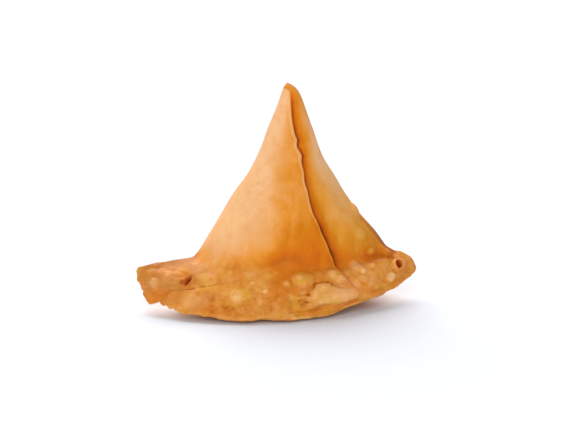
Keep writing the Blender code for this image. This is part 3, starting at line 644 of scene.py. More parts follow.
def lap_relief(points, face, level, column, across, bow, below):
    """The step, the groove and the overhang along the end of the left layer, on the front only. The layer's
    outline is the soft least of four distances: left of the lap, above the rim's edge, below the tip and
    left of the upright line that cuts off its lower corner. The distances inside that outline and from the
    lap are given back too."""
    right_way = np.diff(points, axis=1, append=points[:, -1:] * 2.0 - points[:, -2:-1])
    down_way = np.diff(points, axis=0, append=points[-1:] * 2.0 - points[-2:-1])
    width = np.linalg.norm(right_way, axis=-1)
    along = np.cumsum(width, axis=1) - width
    from_lap = np.array([np.interp(LAP_COLUMN, column[0], row) for row in along])[:, None] - along
    from_lap = from_lap + LAP_WANDER[0] * waves(points, LAP_WANDER[1], 32) * step(0.1, 0.3, level)
    from_lap = from_lap + tear_shift(level)
    fall = np.linalg.norm(down_way[:LEVELS + 1], axis=-1)
    from_tip = np.zeros_like(from_lap)
    from_tip[:LEVELS + 1] = np.cumsum(fall, axis=0) - fall
    from_tip[LEVELS + 1:] = from_tip[LEVELS]
    setback = SETBACK + SETBACK_MORE * hump(across, SETBACK_ACROSS, SETBACK_SPREAD)
    setback = setback - SETBACK_END * (1.0 - step(0.02, 0.14, across))
    setback = setback + SETBACK_WANDER[0] * waves(points, SETBACK_WANDER[1], 31)
    from_corner = LAP_END - points[..., 0]
    sides = np.stack([from_lap, from_tip[LEVELS] - from_tip - setback, from_tip - LAP_TOP, from_corner])
    weights = np.exp(-np.clip(sides, -0.02, 0.02) / LAP_SOFT)
    total = weights.sum(axis=0)
    inside = np.where(sides.min(axis=0) < 0.01, -LAP_SOFT * np.log(total), 0.01)

    inner = face * step(0.0, 0.45, bow)
    lifted = step(-LAP_EDGE, LAP_EDGE, inside)
    proud = step(0.10, 0.42, level)
    height = LAP_RISE * proud * lifted * np.exp(-np.clip(from_lap, 0.0, None) / LAP_FADE)
    sink = LAP_SINK * mix(1.0, LAP_SINK_RIM, step(0.84, 0.95, level))
    height = height - sink * proud * (1.0 - lifted) * np.exp(np.minimum(from_lap, 0.0) / LAP_SINK_FADE)
    groove = mix(GROOVE_TOP, GROOVE, proud) * step(0.0, 0.12, level)
    height = height - groove * hump(inside, -0.7 * GROOVE_WIDTH, GROOVE_WIDTH)
    lip = OVERHANG * lifted * np.exp(-np.clip(inside, 0.0, None) / OVERHANG_FADE)
    lip = lip * step(0.08, 0.30, level) * inner / total
    right_lip = (weights[0] + weights[3]) * lip
    shift = right_lip[..., None] * unit(right_way) + (weights[1] * lip)[..., None] * below
    return height * inner, shift, inside, from_lap


def bend_relief(level, across, face):
    """The crease between the cone and the rim, deepest by the lap, and the belly of filling above it."""
    crease = mix(CREASE, CREASE_MORE, step(-0.1, 0.45, across) * (1.0 - step(0.75, 0.95, across)))
    belly = BELLY * hump(level, BELLY_LEVEL, BELLY_WIDTH) * (1.0 - across**2)
    return face * (belly - crease * hump(level, CREASE_LEVEL, CREASE_WIDTH))


def tuck_relief(points, level, face):
    """The fold of dough that runs down the middle of the back and tucks in under the heel."""
    past = points[..., 0] - TUCK_X - TUCK_LEAN * (points[..., 2] - HEIGHT / 2.0)
    past = past + TUCK_WANDER[0] * waves(points, TUCK_WANDER[1], 33)
    ridge = step(-TUCK_EDGE, TUCK_EDGE, past) * np.exp(-np.clip(past, 0.0, None) / TUCK_FADE)
    valley = 0.6 * hump(past, -TUCK_EDGE, TUCK_GROOVE)
    shown = (1.0 - face) * step(0.30, 0.62, level) * (1.0 - step(0.87, 0.93, level))
    return TUCK_RISE * (ridge - valley) * shown


def rough_relief(points, level, bow):
    """Bumps of the fried crust: small and many on the rim, fainter by its two folds, and broad and faint on
    the cone."""
    upright = points * (1.0, 1.0, 1.0 / PANEL_STRETCH)
    rough = RIM_BUMPS[0] * waves(points, RIM_BUMPS[1], 11)
    rough = rough + RIM_GRAIN[0] * waves(points, RIM_GRAIN[1], 12)
    rough = rough * mix(FOLD_ROUGH, 1.0, step(0.15, 0.60, bow))
    smooth = CONE_BUMPS[0] * waves(points, CONE_BUMPS[1], 13)
    smooth = smooth + CONE_PANELS[0] * waves(upright, CONE_PANELS[1], 14)
    return mix(smooth * step(0.0, 0.25, level), rough, step(0.72, 0.90, level))


def edge_wander(edge):
    """How far the sealed edge strays out from its smooth line, with a sharp notch in the left ear."""
    stray = EDGE_WANDER[0] * waves(edge, EDGE_WANDER[1], 21)
    stray = stray + EDGE_TEETH[0] * waves(edge, EDGE_TEETH[1], 22)
    return stray - sum(depth * hump(edge[:, 0], place, half) for place, half, depth in EDGE_DIPS)


def blister(points, normals, centre, axis, half_width, half_height, square):
    """An oval swelling, 1 in its middle and 0 outside, with a shallow pinch round its foot. It shows only
    on the skin that faces the same way as its axis; the higher square is, the flatter its top."""
    aside = unit(np.cross((0.0, 0.0, 1.0), axis))
    up = np.cross(axis, aside)
    away = points - centre
    reach = np.hypot(away @ aside / half_width, away @ up / half_height)
    dome = np.clip(1.0 - reach**square, 0.0, 1.0)
    close = 1.0 - step(BLISTER_REACH / 2.0, BLISTER_REACH, np.abs(away @ axis))
    return (dome - PINCH * hump(reach, 1.12, 0.12)) * step(-0.1, 0.5, normals @ axis) * close


def front_blisters(points, normals, levels, columns):
    """The blisters, swellings and hollows of the front, each at its own column and level, with how much
    paler, yellower and darker they make the crust: paler partly as painted highlight, and darker in the
    hollows as painted shade."""
    height = np.zeros(points.shape[:-1])
    tints = np.zeros((3,) + points.shape[:-1])
    for column, level, half_width, half_height, rise, square, *shares in BLISTERS:
        centre = lookup(points, levels, columns, level, column)
        axis = unit(lookup(normals, levels, columns, level, column))
        dome = blister(points, normals, centre, axis, half_width, half_height, square)
        height += rise * dome
        tints = np.maximum(tints, np.array(shares)[:, None, None] * step(-0.05, 0.80, dome))
    return height, *tints


def back_blisters(points, normals, levels, columns):
    """Low blisters scattered over the back by seeded chance."""
    rng = np.random.default_rng(41)
    height = np.zeros(points.shape[:-1])
    for _ in range(BACK_BLISTERS):
        level = rng.uniform(*BACK_BLISTER_LEVELS)
        column = rng.uniform(*BACK_BLISTER_COLUMNS)
        size = rng.uniform(*BACK_BLISTER_SIZE)
        rise = size * rng.uniform(*BACK_BLISTER_STEEP)
        centre = lookup(points[::-1], levels, columns, level, column)
        axis = unit(lookup(normals[::-1], levels, columns, level, column))
        height += rise * blister(points, normals, centre, axis, size * 1.2, size, 2.0)
    return height


def all_rows(front, back):
    """Front rows, their last one again for each row round the edge, then the back rows from the edge up."""
    return np.concatenate([front, np.repeat(front[-1:], EDGE_ROWS, axis=0), back[::-1]])


def front_view(points):
    """Place as seen from the front, a little above level: metres to the right and metres up."""
    tilt = math.radians(VIEW_TILT)
    return points[..., 0], points[..., 2] * math.cos(tilt) + points[..., 1] * math.sin(tilt)


def from_path(right, up, path):
    """Distance from a path of straight runs, positive above it where it is read from left to right, and the
    share of the path's length at which the nearest point lies."""
    distance = np.full(right.shape, np.inf)
    share = np.zeros(right.shape)
    runs = len(path) - 1
    for number, (start, end) in enumerate(zip(path[:-1], path[1:])):
        run = end - start
        along = ((right - start[0]) * run[0] + (up - start[1]) * run[1]) / (run @ run)
        along = np.clip(along, 0.0, 1.0)
        aside = right - start[0] - along * run[0]
        above = up - start[1] - along * run[1]
        side = np.sign(run[0] * above - run[1] * aside)
        away = np.hypot(aside, above)
        nearer = away < np.abs(distance)
        distance = np.where(nearer, side * away, distance)
        share = np.where(nearer, (number + along) / runs, share)
    return distance, share


def marks_seen(points, marks, levels, columns):
    """Places of columns and levels as seen from the front."""
    return np.array([front_view(lookup(points, levels, columns, row, column)) for column, row in marks])


def within(right, up, outline):
    """True inside a closed outline: a level line from the place crosses it an odd number of times."""
    inside = np.zeros(right.shape, bool)
    for start, end in zip(outline, np.roll(outline, -1, axis=0)):
        spans = (start[1] > up) != (end[1] > up)
        cross = start[0] + (up - start[1]) * (end[0] - start[0]) / (end[1] - start[1] + 1e-12)
        inside ^= spans & (right < cross)
    return inside


def ledge_relief(points, face, level, levels, columns):
    """Edges of dough that lie on the rim's front: below its path each sheet is raised by a step that runs
    out with distance, and the path itself is a groove. Both fade towards the path's two ends. How much
    painted shade each groove gets in the crust's colour is given back too."""
    right, up = front_view(points)
    wander = LEDGE_WANDER[0] * waves(points, LEDGE_WANDER[1], 61)
    height = np.zeros(right.shape)
    lines = np.zeros(right.shape)
    for marks, rise, fade, groove in LEDGES:
        distance, share = from_path(right, up, marks_seen(points, marks, levels, columns))
        distance = distance + wander
        ends = np.sqrt(np.clip(np.sin(np.pi * np.clip(share, 0.02, 0.98)), 0.0, 1.0))
        near = np.exp(-np.abs(distance) / fade)
        height += ends * rise * step(LEDGE_SOFT, -LEDGE_SOFT, distance) * near
        line = ends * groove * hump(distance, 0.4 * LEDGE_GROOVE, LEDGE_GROOVE)
        height -= line
        # Share of painted shade along the groove.
        lines = np.maximum(lines, line / LEDGE_LINE)
    shown = face * step(0.70, 0.78, level)
    return height * shown, lines * shown


def flake_relief(points, face, level, levels, columns):
    """Flakes of dough that lie on the rim's front: inside its outline each is raised by a power of the
    distance from the outline, up to its full rise. How far inside each outline a place lies is given back
    too."""
    right, up = front_view(points)
    wander = FLAKE_WANDER[0] * waves(points, FLAKE_WANDER[1], 62)
    height = np.zeros(right.shape)
    depths = []
    for marks, rise, soft, power in FLAKES:
        outline = marks_seen(points, marks, levels, columns)
        distance, _ = from_path(right, up, np.concatenate([outline, outline[:1]]))
        depth = np.where(within(right, up, outline), 1.0, -1.0) * np.abs(distance) + wander
        height += rise * np.clip(depth / soft, 0.0, 1.0) ** power * face * step(0.70, 0.78, level)
        depths.append(depth)
    return height, depths


def tear_shift(level):
    """How far the end of the left layer steps to the right, level by level, where it is torn."""
    return sum(out * hump(level, place, half) for place, out, half in LAP_TEARS)


def fine_relief(points, level):
    """Ripples, grains and raised pimples, all over but fainter on the cone."""
    share = mix(CONE_SHARE, 1.0, step(0.70, 0.82, level))
    fine = RIPPLES[0] * waves(points, RIPPLES[1], 51) + GRAINS[0] * waves(points, GRAINS[1], 52)
    pimples = np.maximum(waves(points, PIMPLES[1], 53) - PIMPLES[2], 0.0)
    return share * (fine + PIMPLES[0] * pimples * step(0.72, 0.80, level))


def edge_teeth(edge):
    """Small teeth torn in the sealed edge, longest below the left ear."""
    long_teeth = step(-0.0240, -0.0320, edge[:, 0])
    return mix(TEETH[0], TEETH[1], long_teeth) * waves(edge, TEETH[2], 63)


def ear_lift(points):
    """How far the tops of the ears lift: bells over their width, as seen from the front, which fade in
    upwards."""
    right, up = front_view(points)
    lifts = np.zeros(right.shape)
    for middle, half_width, start, full, rise in EAR_LIFTS:
        lifts += rise * hump(right, middle, half_width) * step(start, full, up)
    return lifts


def chance_blisters(points, normals, levels, columns):
    """Small round blisters scattered by seeded chance: within one kind the highest counts where two meet,
    and the kinds add up. How far up its dome a place lies is given back too."""
    total = np.zeros(points.shape[:-1])
    dome = np.zeros(points.shape[:-1])
    for seed, front, count, sizes, steepness, heights in CHANCE_BLISTERS:
        rng = np.random.default_rng(seed)
        rows = slice(None) if front else slice(None, None, -1)
        kind = np.zeros(points.shape[:-1])
        for _ in range(count):
            level = rng.uniform(*heights)
            column = rng.uniform(*(CHANCE_FRONT_COLUMNS if front else CHANCE_BACK_COLUMNS))
            size = rng.uniform(*sizes)
            rise = size * rng.uniform(*steepness)
            width = size * rng.uniform(*CHANCE_WIDTH)
            centre = lookup(points[rows], levels, columns, level, column)
            axis = unit(lookup(normals[rows], levels, columns, level, column))
            bump = rise * blister(points, normals, centre, axis, width, size, 2.0)
            kind = np.where(np.abs(bump) > np.abs(kind), bump, kind)
            dome = np.maximum(dome, bump / CHANCE_TOP)
        total = total + kind
    return total, dome


def edge_relief(turn, points):
    """The groove where the two sheets of dough meet along the open edge, with a tattered rim."""
    between = hump(turn, 0.0, 0.45) * (np.abs(turn) < 0.999)
    tatters = EDGE_TATTERS[0] * waves(points, EDGE_TATTERS[1], 54) * (np.abs(turn) < 0.999)
    return tatters - EDGE_GROOVE * between * (0.7 + 0.5 * waves(points, 0.006, 55))


def blur(grid, rows, across):
    """Running mean over a window of rows and columns, with the outermost values repeated."""
    for axis, half in ((0, rows), (1, across)):
        pad = [(0, 0), (0, 0)]
        pad[axis] = (half + 1, half)
        total = np.cumsum(np.pad(grid, pad, mode="edge"), axis=axis)
        width = 2 * half + 1
        if axis == 0:
            grid = (total[width:] - total[:-width]) / width
        else:
            grid = (total[:, width:] - total[:, :-width]) / width
    return grid


def bare_skin(levels, columns):
    """The closed grid before its relief: both sheets as thick as the dough, with the rows round the sealed
    edge between them. How far right each place lies on its loop, how far its loop bows out there, and the
    way on past the sealed edge are given back too."""
    column = columns[None, :]
    level = levels[:, None]
    front, front_across, front_bow = sheet(level, column, True)
    back, back_across, back_bow = sheet(level, column, False)
    below = unit(front[-1] - front[-2])
    front = thicken(front, level, FRONT_THICK)
    back = thicken(back, level, -BACK_THICK)
    index = skin_index()
    points = np.concatenate([front, edge_roll(front[-1], back[-1], below), back[::-1]])
    points = points.reshape(-1, 3)[index]
    return points, index, all_rows(front_across, back_across), all_rows(front_bow, back_bow), below


def terrace_marks(depth, inside, level, face):
    """The terrace itself, the painted highlight along its brow just inside its outline, and the painted
    shadow line just outside it.
    """
    terrace = face * step(*LAYER_EDGE, inside) * step(*TERRACE_EDGE, depth)
    brow_highlight = terrace * hump(depth, *TERRACE_HIGHLIGHT) * step(0.965, 0.945, level)
    foot_shadow = face * hump(depth, *TERRACE_SHADOW) * step(*TERRACE_SHADOW_END, inside)
    return terrace, brow_highlight, foot_shadow


def skin():
    """Grid of the whole skin with its finer relief, and the values that the crust's colours follow."""
    columns = spread(COLUMNS, COLUMN_CROWDS)
    levels = spread(LEVELS, LEVEL_CROWDS)
    points, index, across, bow, below = bare_skin(levels, columns)
    normals = grid_normals(points, index)
    row_level = np.concatenate([levels, np.ones(EDGE_ROWS), levels[::-1]])[:, None]
    turn = np.concatenate([np.ones(LEVELS + 1), np.cos(roll_turns()), -np.ones(LEVELS + 1)])[:, None]
    everywhere = np.ones((1, COLUMNS + 1))
    face = step(-0.6, 0.6, turn) * everywhere

    lap, shift, inside, from_lap = lap_relief(points, face, row_level, columns[None, :], across, bow, below)
    broad = bend_relief(row_level, across, face) + rough_relief(points, row_level, bow)
    height = lap + tuck_relief(points, row_level, face)
    large, pale, yellow, dark = front_blisters(points, normals, levels, columns)
    large = large + back_blisters(points, normals, levels, columns)
    pale = np.maximum(pale, 0.35 * (1.0 - face) * np.clip(large / BACK_TOP, 0.0, 1.0))
    small, dome = chance_blisters(points, normals, levels, columns)
    height = height + large + small
    ledges, ledge_groove_shade = ledge_relief(points, face, row_level, levels, columns)
    flakes, depths = flake_relief(points, face, row_level, levels, columns)
    height = height + ledges + flakes * step(*LAYER_EDGE, inside)
    height = height + fine_relief(points, row_level)
    height = height + edge_relief(turn, points)
    shift = shift + below * (edge_wander(points[LEVELS]) * step(0.84, 1.0, row_level))[..., None]
    shift = shift + below * (edge_teeth(points[LEVELS]) * step(0.955, 1.0, row_level))[..., None]
    shift = shift + ear_lift(points)[..., None] * np.array([0.0, 0.0, 1.0])

    relief = height - blur(height, *RELIEF_WINDOW)
    height = height + broad
    values = {
        "rim": step(0.69, 0.85, row_level) * everywhere,
        "brown": brown_share(row_level, across, face),
        # The relief drives painted shade in valleys and painted highlight on ridges.
        "relief": np.clip(relief / RELIEF_FULL, -1.5, 1.5),
        # Pale blister tops: partly paler dough and partly painted highlight.
        "pale": np.clip(np.maximum(pale, 0.6 * dome), 0.0, 1.0),
        "yellow": np.clip(np.maximum(yellow, 0.3 * dome), 0.0, 1.0),
        "dark": np.clip(dark, 0.0, 1.0),
        "lap_edge": lap_edge(inside, from_lap, row_level, face),
        "open_edge": hump(turn, 0.0, 0.7) * (np.abs(turn) < 0.999) * everywhere,
    }
    points = points + normals * height[..., None] + shift
    points[..., 2] = np.maximum(points[..., 2] - REST_SINK, 0.0)
    points = points.reshape(-1, 3)[index]
    fry_and_painted_light, pink, more_yellow, orange = spot_shares(points, face, levels, columns)
    # Tone of the spots: partly frying and partly painted shade and highlight; the ledge grooves get painted
    # shade.
    tone = tones(row_level, across, face, inside) + fry_and_painted_light + 0.15 * ledge_groove_shade
    tone = tone + lap_shade(inside, row_level, face)
    terrace, brow_highlight, foot_shadow = terrace_marks(depths[0], inside, row_level, face)
    # The terrace is paler, with a painted highlight along its brow and a painted shadow line round its
    # foot.
    values["tone"] = tone - 0.15 * terrace - 0.10 * brow_highlight + 0.26 * foot_shadow
    values["pink"] = np.clip(pink + 0.5 * brow_highlight + 0.3 * values["lap_edge"], 0.0, 1.0)
    far_right = step(*FAR_RIGHT, -inside) * step(0.72, 0.66, row_level) * step(0.22, 0.45, row_level)
    far_right = far_right * np.maximum(face, round_fold(row_level, across))
    values["yellow"] = np.clip(values["yellow"] + more_yellow + 0.35 * far_right, 0.0, 1.0)
    values["orange"] = np.clip(orange, 0.0, 1.0)
    return points, index, values


def lap_edge(inside, from_lap, level, face):
    """The thin pale strip along the end of the left layer, partly paler cut dough and partly painted
    highlight on the layer's rounded edge, widest a third of the way down and fading out along the foot."""
    half = STRIP_HALF + STRIP_WIDER * hump(level, 0.28, 0.14)
    by_lap = step(*STRIP_BY_LAP, np.abs(from_lap))
    strip = hump(inside, STRIP_INSET + 0.8 * half, half)
    shown = step(0.03, 0.10, level) * mix(1.0, 0.6, step(0.40, 0.60, level))
    return face * strip * shown * mix(0.35, 1.0, by_lap)


def lap_shade(inside, level, face):
    """Painted shade on the wall of the step below the end of the left layer, and the faint line on the
    layer's other side of the pale strip."""
    wall = step(*WALL_TOP, inside) * step(*WALL_FOOT, inside)
    line = hump(inside, *STRIP_LINE) * step(0.08, 0.16, level) * step(0.62, 0.48, level)
    return face * step(0.02, 0.10, level) * (0.07 * wall + 0.06 * line)


def round_fold(level, across):
    """How much of the front's tones runs on round the folds to the cone's back."""
    return step(0.45, 0.98, np.abs(across)) * step(0.86, 0.70, level)


def fold_line(level, across):
    """The dark line along the left ear's upper side, and painted shade along the foot of the right fold,
    which faces away from the lamps.
    """
    left = step(-0.955, -0.995, across) * step(0.70, 0.76, level) * step(0.99, 0.95, level)
    right = step(0.972, 0.998, across) * step(0.56, 0.66, level) * step(0.86, 0.80, level)
    return left, right


def brown_share(level, across, face):
    """How much of the crust's colour is plain brown: at the end of the left ear, and along the fold lines
    with their painted shade.
    """
    ear = 0.8 * step(-0.60, -0.85, across) * step(0.74, 0.80, level) * face
    left, right = fold_line(level, across)
    return np.maximum(ear, 0.4 * np.maximum(left, right))


def tones(level, across, face, inside):
    """How dark the crust's colour is, place by place: 0 is pale dough and 1 deep brown. It follows both
    frying and painted light and shade. The left layer deepens from its left side towards the lap and the
    foot: its pale left side is partly a painted sheen from the lamp on the left, and the deeper low part
    above the crease is painted shade. The right one is deepest under the lap, where the dark is the painted
    shadow of the lap's step, and at its foot, and palest along its outer side, where the paleness is a
    painted highlight. The rim is deeper near its edge, and the fold lines add a dark line on the left ear
    and painted shade at the right fold."""
    upper = step(-LAP_EDGE, LAP_EDGE, inside)
    # Pale left side: partly paler dough and partly a painted sheen from the lamp on the left.
    left = 0.10 + 0.42 * step(-0.70, 0.02, across) - 0.06 * (1.0 - step(0.10, 0.35, level))
    # The next two lines deepen the cone low down towards the crease: painted shade where it turns under.
    left = left + 0.12 * step(0.50, 0.66, level) * step(-0.3, 0.1, across)
    left = left + mix(0.25, 0.10, step(-0.2, 0.2, across)) * step(0.63, 0.73, level)
    # Painted shadow of the lap's step, darkest on the right layer next to the lap.
    lap_shadow_reach = LAP_SHADOW_REACH + LAP_SHADOW_REACH_MORE * hump(level, 0.38, 0.15)
    lap_shadow = np.exp(np.minimum(inside, 0.0) / lap_shadow_reach)
    right = 0.27 + 0.70 * lap_shadow + 0.26 * step(0.45, 0.72, level)
    right = right + 0.10 * step(0.5, 0.8, across) * step(0.55, 0.70, level)
    # Painted highlight along the right layer's outer side.
    right = right - 0.38 * step(0.70, 0.95, across) * hump(level, 0.33, 0.14)
    cone = mix(right, left, upper)
    rim = 0.44 + 0.06 * step(0.86, 0.97, level) + 0.02 * across
    front = mix(cone, rim, step(0.70, 0.82, level))
    back = 0.40 + 0.08 * step(0.70, 0.82, level) * np.ones_like(front)
    tone = mix(back, front, np.maximum(face, round_fold(level, across)))
    # Fold lines: a dark line on the left ear and painted shade at the right fold.
    return tone + 0.40 * sum(fold_line(level, across))


def spot_shares(points, face, levels, columns):
    """How much the soft spots of the front darken the crust, by frying and by painted shade and highlight,
    and how much pinker, yellower and more orange they make it: each fades from its middle as a bell over
    its two half sizes, as seen from the front."""
    right, up = front_view(points)
    shares = np.zeros((4,) + face.shape)
    for place, row, half_width, half_height, *changes in SPOTS:
        middle_right, middle_up = front_view(lookup(points, levels, columns, row, place))
        away = np.hypot((right - middle_right) / half_width, (up - middle_up) / half_height)
        shares += np.array(changes)[:, None, None] * (face * np.exp(-away**2))
    return shares


def fit_box(points, low, high):
    """Moves the middle of the skin's box over that of the solid's and shrinks it where it stands out."""
    lowest = points.reshape(-1, 3).min(axis=0)
    highest = points.reshape(-1, 3).max(axis=0)
    middle = (lowest + highest) / 2.0
    middle[2] = lowest[2]
    share = np.minimum(1.0, (np.array(high) - low) / (highest - lowest))
    place = (np.array(low) + high) / 2.0
    place[2] = low[2]
    return (points - middle) * share + place


def skin_mesh(name, points, index, values):
    """The closed mesh of the skin, with unused grid points left out and each value kept as an attribute."""
    _, first, number = np.unique(index, return_index=True, return_inverse=True)
    number = number.reshape(index.shape)
    quads = np.stack([number[:-1, :-1], number[1:, :-1], number[1:, 1:], number[:-1, 1:]], axis=-1)
    quads = quads.reshape(-1, 4)
    same = quads == np.roll(quads, 1, axis=1)
    sides = 4 - same.sum(axis=1)
    faces = quads[sides == 4].tolist()
    for short, flags in zip(quads[sides == 3].tolist(), same[sides == 3].tolist()):
        faces.append([corner for corner, doubled in zip(short, flags) if not doubled])
    mesh = bpy.data.meshes.new(name)
    mesh.from_pydata(points.reshape(-1, 3)[first], [], faces)
    for title, grid in values.items():
        attribute = mesh.attributes.new(title, "FLOAT", "POINT")
        attribute.data.foreach_set("value", grid.reshape(-1)[first].astype(np.float32))
    mesh.shade_smooth()
    mesh.validate()
    return mesh


class Look:
    """A material's nodes, joined by short calls."""

    def __init__(self, name):
        self.material = bpy.data.materials.new(name)
        self.material.use_nodes = True
        self.nodes = self.material.node_tree.nodes
        self.links = self.material.node_tree.links
        self.surface = self.nodes["Principled BSDF"]

    def feed(self, socket, value):
        """Joins a socket to another node's output, or sets it to a plain value."""
        if isinstance(value, bpy.types.NodeSocket):
            self.links.new(value, socket)
        else:
            socket.default_value = value

    def attribute(self, name):
        """A value kept on the mesh."""
        node = self.nodes.new("ShaderNodeAttribute")
        node.attribute_name = name
        return node.outputs["Fac"]

    def place(self, scale=(1.0, 1.0, 1.0)):
        """Object coordinates, stretched by scale."""
        source = self.nodes.new("ShaderNodeTexCoord")
        stretch = self.nodes.new("ShaderNodeMapping")
        stretch.inputs["Scale"].default_value = scale
        self.links.new(source.outputs["Object"], stretch.inputs["Vector"])
        return stretch.outputs["Vector"]

    def noise(self, vector, scale, detail=2.0, rough=0.5, distort=0.0):
        """Smooth noise around 0.5."""
        node = self.nodes.new("ShaderNodeTexNoise")
        self.links.new(vector, node.inputs["Vector"])
        node.inputs["Scale"].default_value = scale
        node.inputs["Detail"].default_value = detail
        node.inputs["Roughness"].default_value = rough
        node.inputs["Distortion"].default_value = distort
        return node.outputs["Fac"]

    def swing(self, vector, scale, detail=2.0, rough=0.5, distort=0.0):
        """Smooth noise around 0."""
        return self.math("SUBTRACT", self.noise(vector, scale, detail, rough, distort), 0.5)

    def cells(self, vector, scale):
        """Distance to the nearest of many scattered points, 0 at the point."""
        node = self.nodes.new("ShaderNodeTexVoronoi")
        self.links.new(vector, node.inputs["Vector"])
        node.inputs["Scale"].default_value = scale
        return node.outputs["Distance"]

    def math(self, operation, a, b=0.0, c=0.0):
        """One sum, product or other step of arithmetic."""
        node = self.nodes.new("ShaderNodeMath")
        node.operation = operation
        for socket, value in zip(node.inputs, (a, b, c)):
            self.feed(socket, value)
        return node.outputs["Value"]

    def band(self, value, low, high, out_low=0.0, out_high=1.0):
        """Smooth step of a value from one range into another, held at both ends."""
        node = self.nodes.new("ShaderNodeMapRange")
        node.interpolation_type = "SMOOTHSTEP"
        self.feed(node.inputs["Value"], value)
        node.inputs["From Min"].default_value = low
        node.inputs["From Max"].default_value = high
        node.inputs["To Min"].default_value = out_low
        node.inputs["To Max"].default_value = out_high
        return node.outputs["Result"]

    def ramp(self, value, stops):
        """Colour along a run of stops, each a place and a colour."""
        node = self.nodes.new("ShaderNodeValToRGB")
        self.feed(node.inputs["Fac"], value)
        elements = node.color_ramp.elements
        while len(elements) < len(stops):
            elements.new(0.5)
        for element, (place, colour) in zip(elements, stops):
            element.position = place
            element.color = (*colour, 1.0)
        return node.outputs["Color"]

    def blend(self, share, a, b):
        """Colour a where share is 0 and colour b where it is 1."""
        node = self.nodes.new("ShaderNodeMix")
        node.data_type = "RGBA"
        self.feed(node.inputs[0], share)
        colours = [socket for socket in node.inputs if socket.type == "RGBA"]
        for socket, value in zip(colours, (a, b)):
            self.feed(socket, value)
        return [socket for socket in node.outputs if socket.type == "RGBA"][0]

    def total(self, start, *shares):
        """A starting value plus each further value times its share."""
        for value, share in shares:
            start = self.math("MULTIPLY_ADD", value, share, start)
        return start

    def bump(self, height, distance, strength):
        """Normal of a fine relief."""
        node = self.nodes.new("ShaderNodeBump")
        self.feed(node.inputs["Height"], height)
        node.inputs["Distance"].default_value = distance
        node.inputs["Strength"].default_value = strength
        return node.outputs["Normal"]


# Colours of the cone's crust and of the rim's browner one, each from pale dough to deep brown; the cone's
# palest stops carry extra blue for the painted sheen of its left side
CONE_FRIED = [
    (0.00, (0.965, 0.555, 0.275)),
    (0.20, (0.925, 0.470, 0.195)),
    (0.35, (0.870, 0.385, 0.108)),
    (0.50, (0.830, 0.305, 0.034)),
    (0.65, (0.700, 0.205, 0.004)),
    (0.80, (0.630, 0.130, 0.003)),
    (1.00, (0.300, 0.045, 0.002)),
]
RIM_FRIED = [
    (0.00, (0.970, 0.540, 0.220)),
    (0.25, (0.860, 0.390, 0.100)),
    (0.45, (0.740, 0.285, 0.046)),
    (0.62, (0.630, 0.205, 0.024)),
    (0.80, (0.440, 0.090, 0.004)),
    (1.00, (0.200, 0.025, 0.001)),
]

# The plain brown of the left ear's end and of the fold lines, the tints of patches and spots, the red of
# the painted shade in the hollows, and the colour where a blister's top is palest, partly paler dough and
# partly painted highlight
EAR_BROWN = (0.560, 0.235, 0.060, 1.0)
PINK_TAN = (0.850, 0.410, 0.160, 1.0)
BLISTER_YELLOW = (0.760, 0.395, 0.030, 1.0)
DEEP_ORANGE = (0.760, 0.215, 0.012, 1.0)
HOLLOW_SHADE_RED = (0.330, 0.038, 0.001, 1.0)
PALE_TOP_AND_HIGHLIGHT = (0.880, 0.580, 0.330, 1.0)

# The floor's two nearly equal shades, the scale of the noise between them, and half the floor's width
FLOOR_SHADES = [(0.0, (0.81, 0.84, 0.90)), (1.0, (0.82, 0.85, 0.91))]
FLOOR_NOISE = 3.0
FLOOR_HALF = 4.0

# The lights: where each comes from, its strength and its width in degrees
LAMPS = [
    ("front", (-0.10, -0.90, 0.34), 1.91, 70.0),
    ("overhead", (-0.20, 0.66, 0.74), 3.32, 60.0),
]

# The sky's strength and colour as it lights the piece, and as the camera sees it
SKY_STRENGTH = 0.23
SKY_COLOUR = (0.94, 0.97, 1.00, 1.0)
SKY_SEEN = 1.0
SKY_SEEN_COLOUR = (1.0, 1.0, 1.0, 1.0)

# The camera looks along +Y from VIEW_TILT above level, and a pixel at the piece is worth PIXEL metres
CAMERA_AWAY = 0.9
CAMERA_TARGET = (-0.00043, 0.00463, 0.0)
PIXEL = 0.000339
IMAGE = (586, 440)
TARGET_PIXEL = (276.0, 321.0)
TARGET_FORWARD = 0.026


